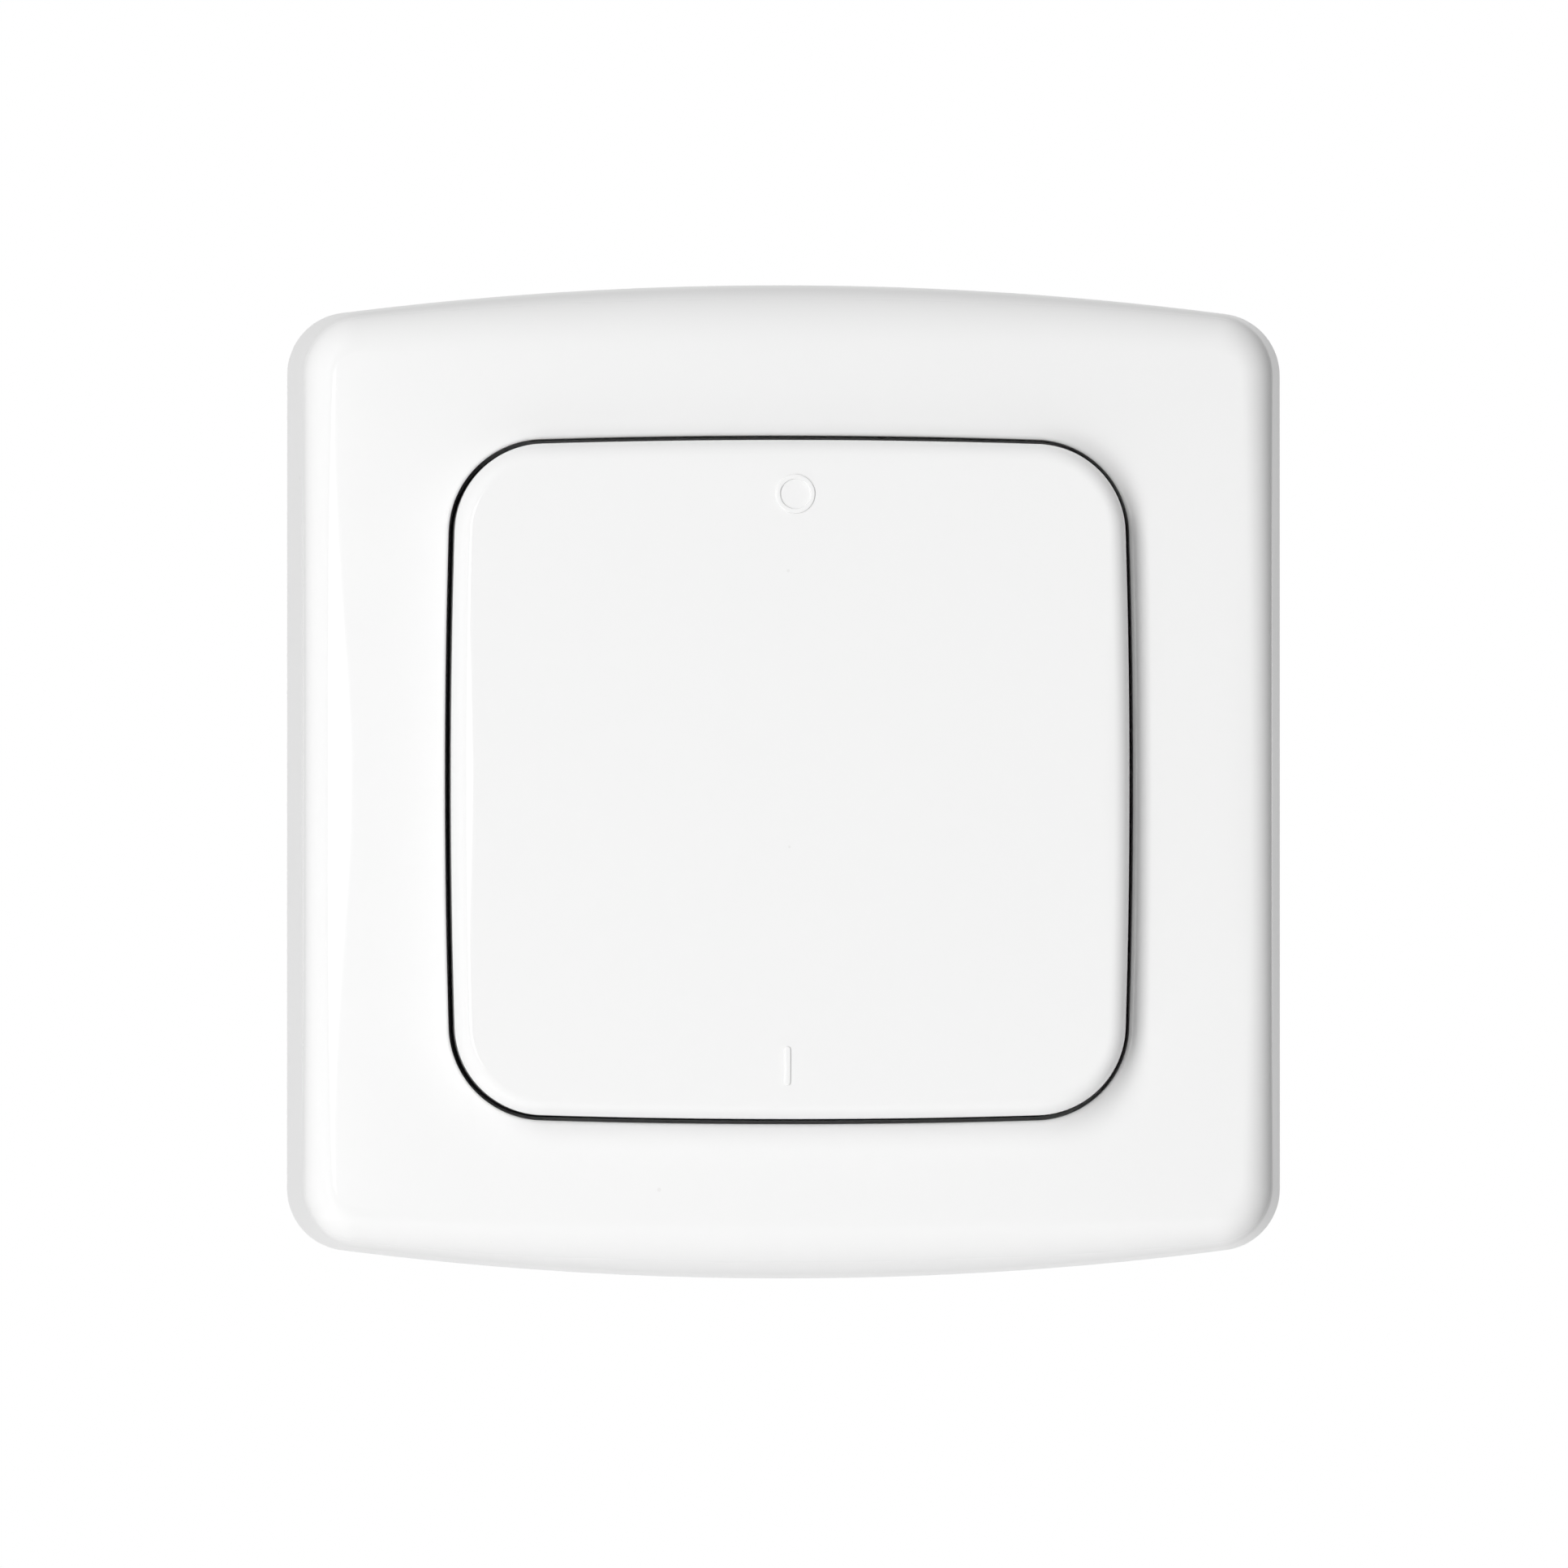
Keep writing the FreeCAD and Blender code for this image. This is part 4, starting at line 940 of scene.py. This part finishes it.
def rocker_fitting_tree(post, sockets):
    """Ribs, posts and pivot lugs joined under the rocker's face, and the two pivot sockets cut out."""
    sizes = {
        "Rib thickness": ROCKER_RIB_THICKNESS,
        "Rib spacing": ROCKER_RIB_SPACING,
        "Rib length": ROCKER_SIZE - ROCKER_SKIRT,
        "Rib low": ROCKER_RIB_LOW,
        "Ceiling": ROCKER_CEILING + ROOT,
        "Post spacing": POST_SPACING,
        "Lug width": LUG_WIDTH,
        "Lug inside": LUG_INSIDE,
        "Lug outside": ROCKER_SIZE / 2 - ROCKER_SKIRT + ROOT,
        "Lug low": SKIRT_LOW,
    }
    tree = Tree("rocker_fittings", sizes)
    size = tree.inputs
    rib_height, rib_level = tree.between(size["Rib low"], size["Ceiling"])
    rib = tree.block(size["Rib thickness"], size["Rib length"], rib_height)
    right = tree.moved(rib, tree.vector(tree.half(size["Rib spacing"]), 0.0, rib_level))
    quarter = tree.moved(right, (0, 0, RIB_STEP), (0, 0, math.pi / 2))
    corner = tree.joined(right, quarter)
    grid = tree.joined(corner, tree.moved(corner, (0, 0, 0), (0, 0, math.pi)))
    lug_reach, lug_x = tree.between(size["Lug inside"], size["Lug outside"])
    lug_height, lug_z = tree.between(size["Lug low"], size["Ceiling"])
    lug = tree.block(lug_reach, size["Lug width"], lug_height)
    lug = tree.moved(lug, tree.vector(lug_x, 0.0, lug_z))
    lugs = tree.joined(lug, tree.moved(lug, (0, 0, 0), (0, 0, math.pi)))
    post_shape = tree.shape_of(post)
    post_shift = tree.sum("MULTIPLY", size["Post spacing"], 0.5 * MM)
    high = tree.moved(post_shape, tree.vector(0.0, 0.0, post_shift))
    low = tree.moved(post_shape, tree.vector(0.0, 0.0, tree.sum("MULTIPLY", post_shift, -1.0)))
    fittings = tree.joined(tree.upright(tree.joined(grid, lugs)), high, low)
    whole = tree.boolean("UNION", size["Geometry"], fittings)
    cutters = tree.joined(*[tree.shape_of(socket) for socket in sockets])
    whole = tree.boolean("DIFFERENCE", whole, cutters)
    tree.finish(whole, rocker_gloss)
    return tree


rocker_face = new_piece("rocker_face", rocker_shell())
post = new_piece("post_pattern", rocker_post())
sockets = [new_piece("socket_pattern", pivot_socket(side)) for side in (-1, 1)]
rocker_fitting_tree(post, sockets).made(rocker_face)
for pattern in [post, *sockets]:
    bpy.data.objects.remove(pattern)
dressed(rocker_face, "rocker", "rocker_plastic", rocker_gloss, "rocker")


# Off and on marks


def on_face(x, y, lift):
    return Vector((x, y, rocker_face_level(x, y) + lift))


def mark_profile(inside, outside):
    """A raised line's section, as how far across it and how high over the face, with rounded top edges."""
    r = MARK_EDGE_ROUND
    section = [(outside, -MARK_SINK), (outside, MARK_RAISE - r)]
    for i in range(1, MARK_ROUND_STEPS + 1):
        angle = math.pi / 2 * i / MARK_ROUND_STEPS
        section.append((outside - r + r * math.cos(angle), MARK_RAISE - r + r * math.sin(angle)))
    if inside is None:
        return section
    for i in range(MARK_ROUND_STEPS + 1):
        angle = math.pi / 2 * (1 + i / MARK_ROUND_STEPS)
        section.append((inside + r + r * math.cos(angle), MARK_RAISE - r + r * math.sin(angle)))
    return section + [(inside, -MARK_SINK)]


def off_ring():
    """The raised ring at the rocker's top."""
    rows = []
    for radius, lift in mark_profile(RING_RADIUS - RING_WIDTH, RING_RADIUS):
        rows.append([on_face(x, y, lift) for x, y in circle(RING_SIDES, radius, RING_PLACE)])
    return mesh_from_rows("off_ring", rows, closed=True)


def on_bar():
    """The raised upright bar at the rocker's bottom, with round ends."""
    half_width, half_height = BAR_SIZE[0] / 2, BAR_SIZE[1] / 2
    rows = []
    for reach, lift in mark_profile(None, half_width):
        row = []
        for x, y in circle(BAR_SIDES, reach):
            end = math.copysign(half_height - half_width, y)
            row.append(on_face(BAR_PLACE[0] + x, BAR_PLACE[1] + end + y, lift))
        rows.append(row)
    return mesh_from_rows(
        "on_bar",
        rows,
        first_pole=on_face(*BAR_PLACE, -MARK_SINK),
        last_pole=on_face(*BAR_PLACE, MARK_RAISE),
    )


for name, mesh in (("off_ring", off_ring()), ("on_bar", on_bar())):
    dressed(new_piece(name, smoothed(mesh)), "rocker", "rocker_plastic", rocker_gloss)


# Snap domes


def snap_dome(node):
    """The thin spring cap under a plunger, in the place of its solid."""
    low, high = (corner * 1000 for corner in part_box(node))
    middle = (low.z + high.z) / 2
    radius = (high.x - low.x) / 2
    rise = high.y - low.y - DOME_THICKNESS
    parts = [step / DOME_STEPS for step in range(1, DOME_STEPS + 1)]
    section = [(part, 0.0) for part in parts] + [(part, DOME_THICKNESS) for part in reversed(parts)]
    rows = []
    for part, lift in section:
        level = lift + rise * (1 - part * part) - high.y
        rows.append([Vector((x, y, level)) for x, y in circle(DOME_SIDES, radius * part, (0.0, middle))])
    centre = Vector((0, middle, rise - high.y))
    raised = Vector((0, middle, rise - high.y + DOME_THICKNESS))
    return mesh_from_rows(node, rows, first_pole=centre, last_pole=raised)


steel = plated_metal("switch_sheet_steel", (0.66, 0.66, 0.68), 0.3, (1.0, 1.0, 0.05))
for switch in ("off", "on"):
    node = switch + "_switch_dome"
    piece = new_piece(switch + "_snap_dome", smoothed(snap_dome(node)))
    dressed(piece, "housing", "switch_steel", steel, node)
    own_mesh(piece)


# Finishes of the pieces that keep their solids

black = matt_moulding("black_moulding", (0.022, 0.022, 0.023))
chip = chip_package("chip_package")
FINISHES = {
    "wall_plate": wall_plate_moulding("plate_moulding", 0.8),
    "transmitter_base": matt_moulding("case_moulding", (0.035, 0.035, 0.038)),
    "transmitter_screws": plated_metal("zinc_plating", (0.62, 0.63, 0.66), 0.34),
    "circuit_board": solder_masked_board("board_lacquer"),
    "battery_holder": black,
    "battery_side_contact": plated_metal("spring_strip", (0.74, 0.72, 0.64), 0.28, (1.0, 1.0, 0.05)),
    "coin_cell": coin_cell_steel("cell_steel"),
    "encoder_chip": chip,
    "resonator": resonator_finish("gilt_lid"),
    "chip_resistors": end_capped_ceramic("resistor_glaze", (0.03, 0.03, 0.034), 0.3),
    "chip_capacitors": end_capped_ceramic("capacitor_ceramic", (0.36, 0.24, 0.13), 0.5),
    "antenna_loop": plated_metal("tinned_wire", (0.76, 0.75, 0.72), 0.32, (1.0, 1.0, 0.05)),
}
FINISHES["transmitter_cover"] = FINISHES["transmitter_base"]
FINISHES["battery_floor_contact"] = FINISHES["battery_side_contact"]
FINISHES["transmit_transistor"] = chip
for switch in ("off_switch", "on_switch"):
    FINISHES[switch + "_base"] = black
    FINISHES[switch + "_plunger"] = black
    FINISHES[switch + "_plate"] = steel
for name, finish in FINISHES.items():
    materials = nodes[name].data.materials
    materials.clear()
    materials.append(finish)


# Camera, light and floor


def direction(azimuth, elevation):
    """From the switch towards a place seen from it; azimuth 0 is straight out from the rocker."""
    a, e = math.radians(azimuth), math.radians(elevation)
    return Vector((math.sin(a) * math.cos(e), -math.cos(a) * math.cos(e), math.sin(e)))


def facing(thing, place, target):
    thing.location = place
    thing.rotation_mode = "QUATERNION"
    thing.rotation_quaternion = (target - place).to_track_quat("-Z", "Y")


def set_camera():
    data = bpy.data.cameras.new("camera")
    data.sensor_width = SENSOR
    data.lens = SENSOR * CAMERA_DISTANCE / VIEW_WIDTH
    data.clip_start = 0.05
    data.clip_end = 20.0
    camera = bpy.data.objects.new("camera", data)
    bpy.context.scene.collection.objects.link(camera)
    place = AIM + direction(CAMERA_AZIMUTH, CAMERA_ELEVATION) * CAMERA_DISTANCE
    facing(camera, place, AIM)
    bpy.context.scene.camera = camera


def softbox(name, mirrored, azimuth, elevation, distance, spread, height, radiance):
    """A flat soft lamp that faces the switch and is seen from it over that spread in degrees.

    Its power follows from how bright its face is. A mirrored lamp is only seen in reflections, and
    the others only light the switch."""
    data = bpy.data.lights.new(name, "AREA")
    data.shape = "RECTANGLE"
    width = 2 * distance * math.tan(math.radians(spread / 2))
    data.size = width
    data.size_y = height
    data.energy = radiance * math.pi * width * height
    lamp = bpy.data.objects.new(name, data)
    bpy.context.scene.collection.objects.link(lamp)
    facing(lamp, direction(azimuth, elevation) * distance, Vector((0, 0, 0)))
    lamp.visible_camera = False
    lamp.visible_glossy = mirrored
    lamp.visible_diffuse = not mirrored


def set_studio():
    """A pale room that lights the switch, brighter towards its ceiling.

    The camera sees it as plain white. Reflections see the white backdrop behind the switch, and the rest
    of the room greyer."""
    world = bpy.data.worlds.new("studio")
    bpy.context.scene.world = world
    f = Finish(world)
    way = f.add("ShaderNodeTexCoord", out="Generated")
    _, y, z = f.add("ShaderNodeSeparateXYZ", None, {"Vector": way}, ("X", "Y", "Z"))
    room = ROOM_LIGHT + z.above_zero() * CEILING_LIGHT
    backdrop = f.eased(y, BACKDROP_EDGE, BACKDROP_EDGE + BACKDROP_FADE)
    reflected = ROOM_IN_GLOSS + backdrop * (1.0 - ROOM_IN_GLOSS)
    camera, glossy, transmission = f.rays()
    shown = (camera + transmission) > 0.5
    strength = shown + (1.0 - shown) * (glossy * reflected + (1.0 - glossy) * room)
    values = {"Color": (1.0, 1.0, 1.0, 1.0), "Strength": strength}
    light = f.add("ShaderNodeBackground", None, values)
    f.add("ShaderNodeOutputWorld", None, {"Surface": light})


def set_floor():
    """A plain pale floor well below the switch. It looks white and still takes the switch's shadow."""
    signs = ((-1, -1), (1, -1), (1, 1), (-1, 1))
    corners = [(x * FLOOR_HALF, y * FLOOR_HALF, FLOOR_LEVEL) for x, y in signs]
    mesh = bpy.data.meshes.new("floor")
    mesh.from_pydata(corners, [], [(0, 1, 2, 3)])
    floor = new_piece("floor", mesh)
    f = new_finish("pale_floor")
    camera, glossy, transmission = f.rays()
    shown = (camera + glossy + transmission) > 0.5
    mottle = f.noise(30.0, 3.0)
    paint = f.mixed(mottle, grey(0.86), grey(0.88))
    matt = f.add("ShaderNodeBsdfDiffuse", None, {"Color": paint})
    glow = f.add("ShaderNodeEmission", None, {"Color": (1.0, 1.0, 1.0, 1.0), "Strength": 1.0})
    mix = f.add("ShaderNodeMixShader", None, {0: shown * 0.75, 1: matt, 2: glow})
    f.add("ShaderNodeOutputMaterial", None, {"Surface": mix})
    mesh.materials.append(f.owner)


set_camera()
softbox(
    "left_softbox", mirrored=False,
    azimuth=-28.0, elevation=4.0, distance=2.8, spread=17.0, height=3.8, radiance=7.2,
)
softbox(
    "highlight_panel", mirrored=True,
    azimuth=-10.5, elevation=0.8, distance=1.4, spread=9.0, height=0.35, radiance=4.4,
)
softbox(
    "table_bounce", mirrored=False,
    azimuth=-5.0, elevation=-70.0, distance=0.6, spread=80.0, height=0.9, radiance=0.33,
)
softbox(
    "back_lamp", mirrored=False,
    azimuth=180.0, elevation=0.0, distance=1.4, spread=9.0, height=0.12, radiance=90.0,
)
set_studio()
set_floor()
bpy.context.scene.view_settings.view_transform = "Standard"
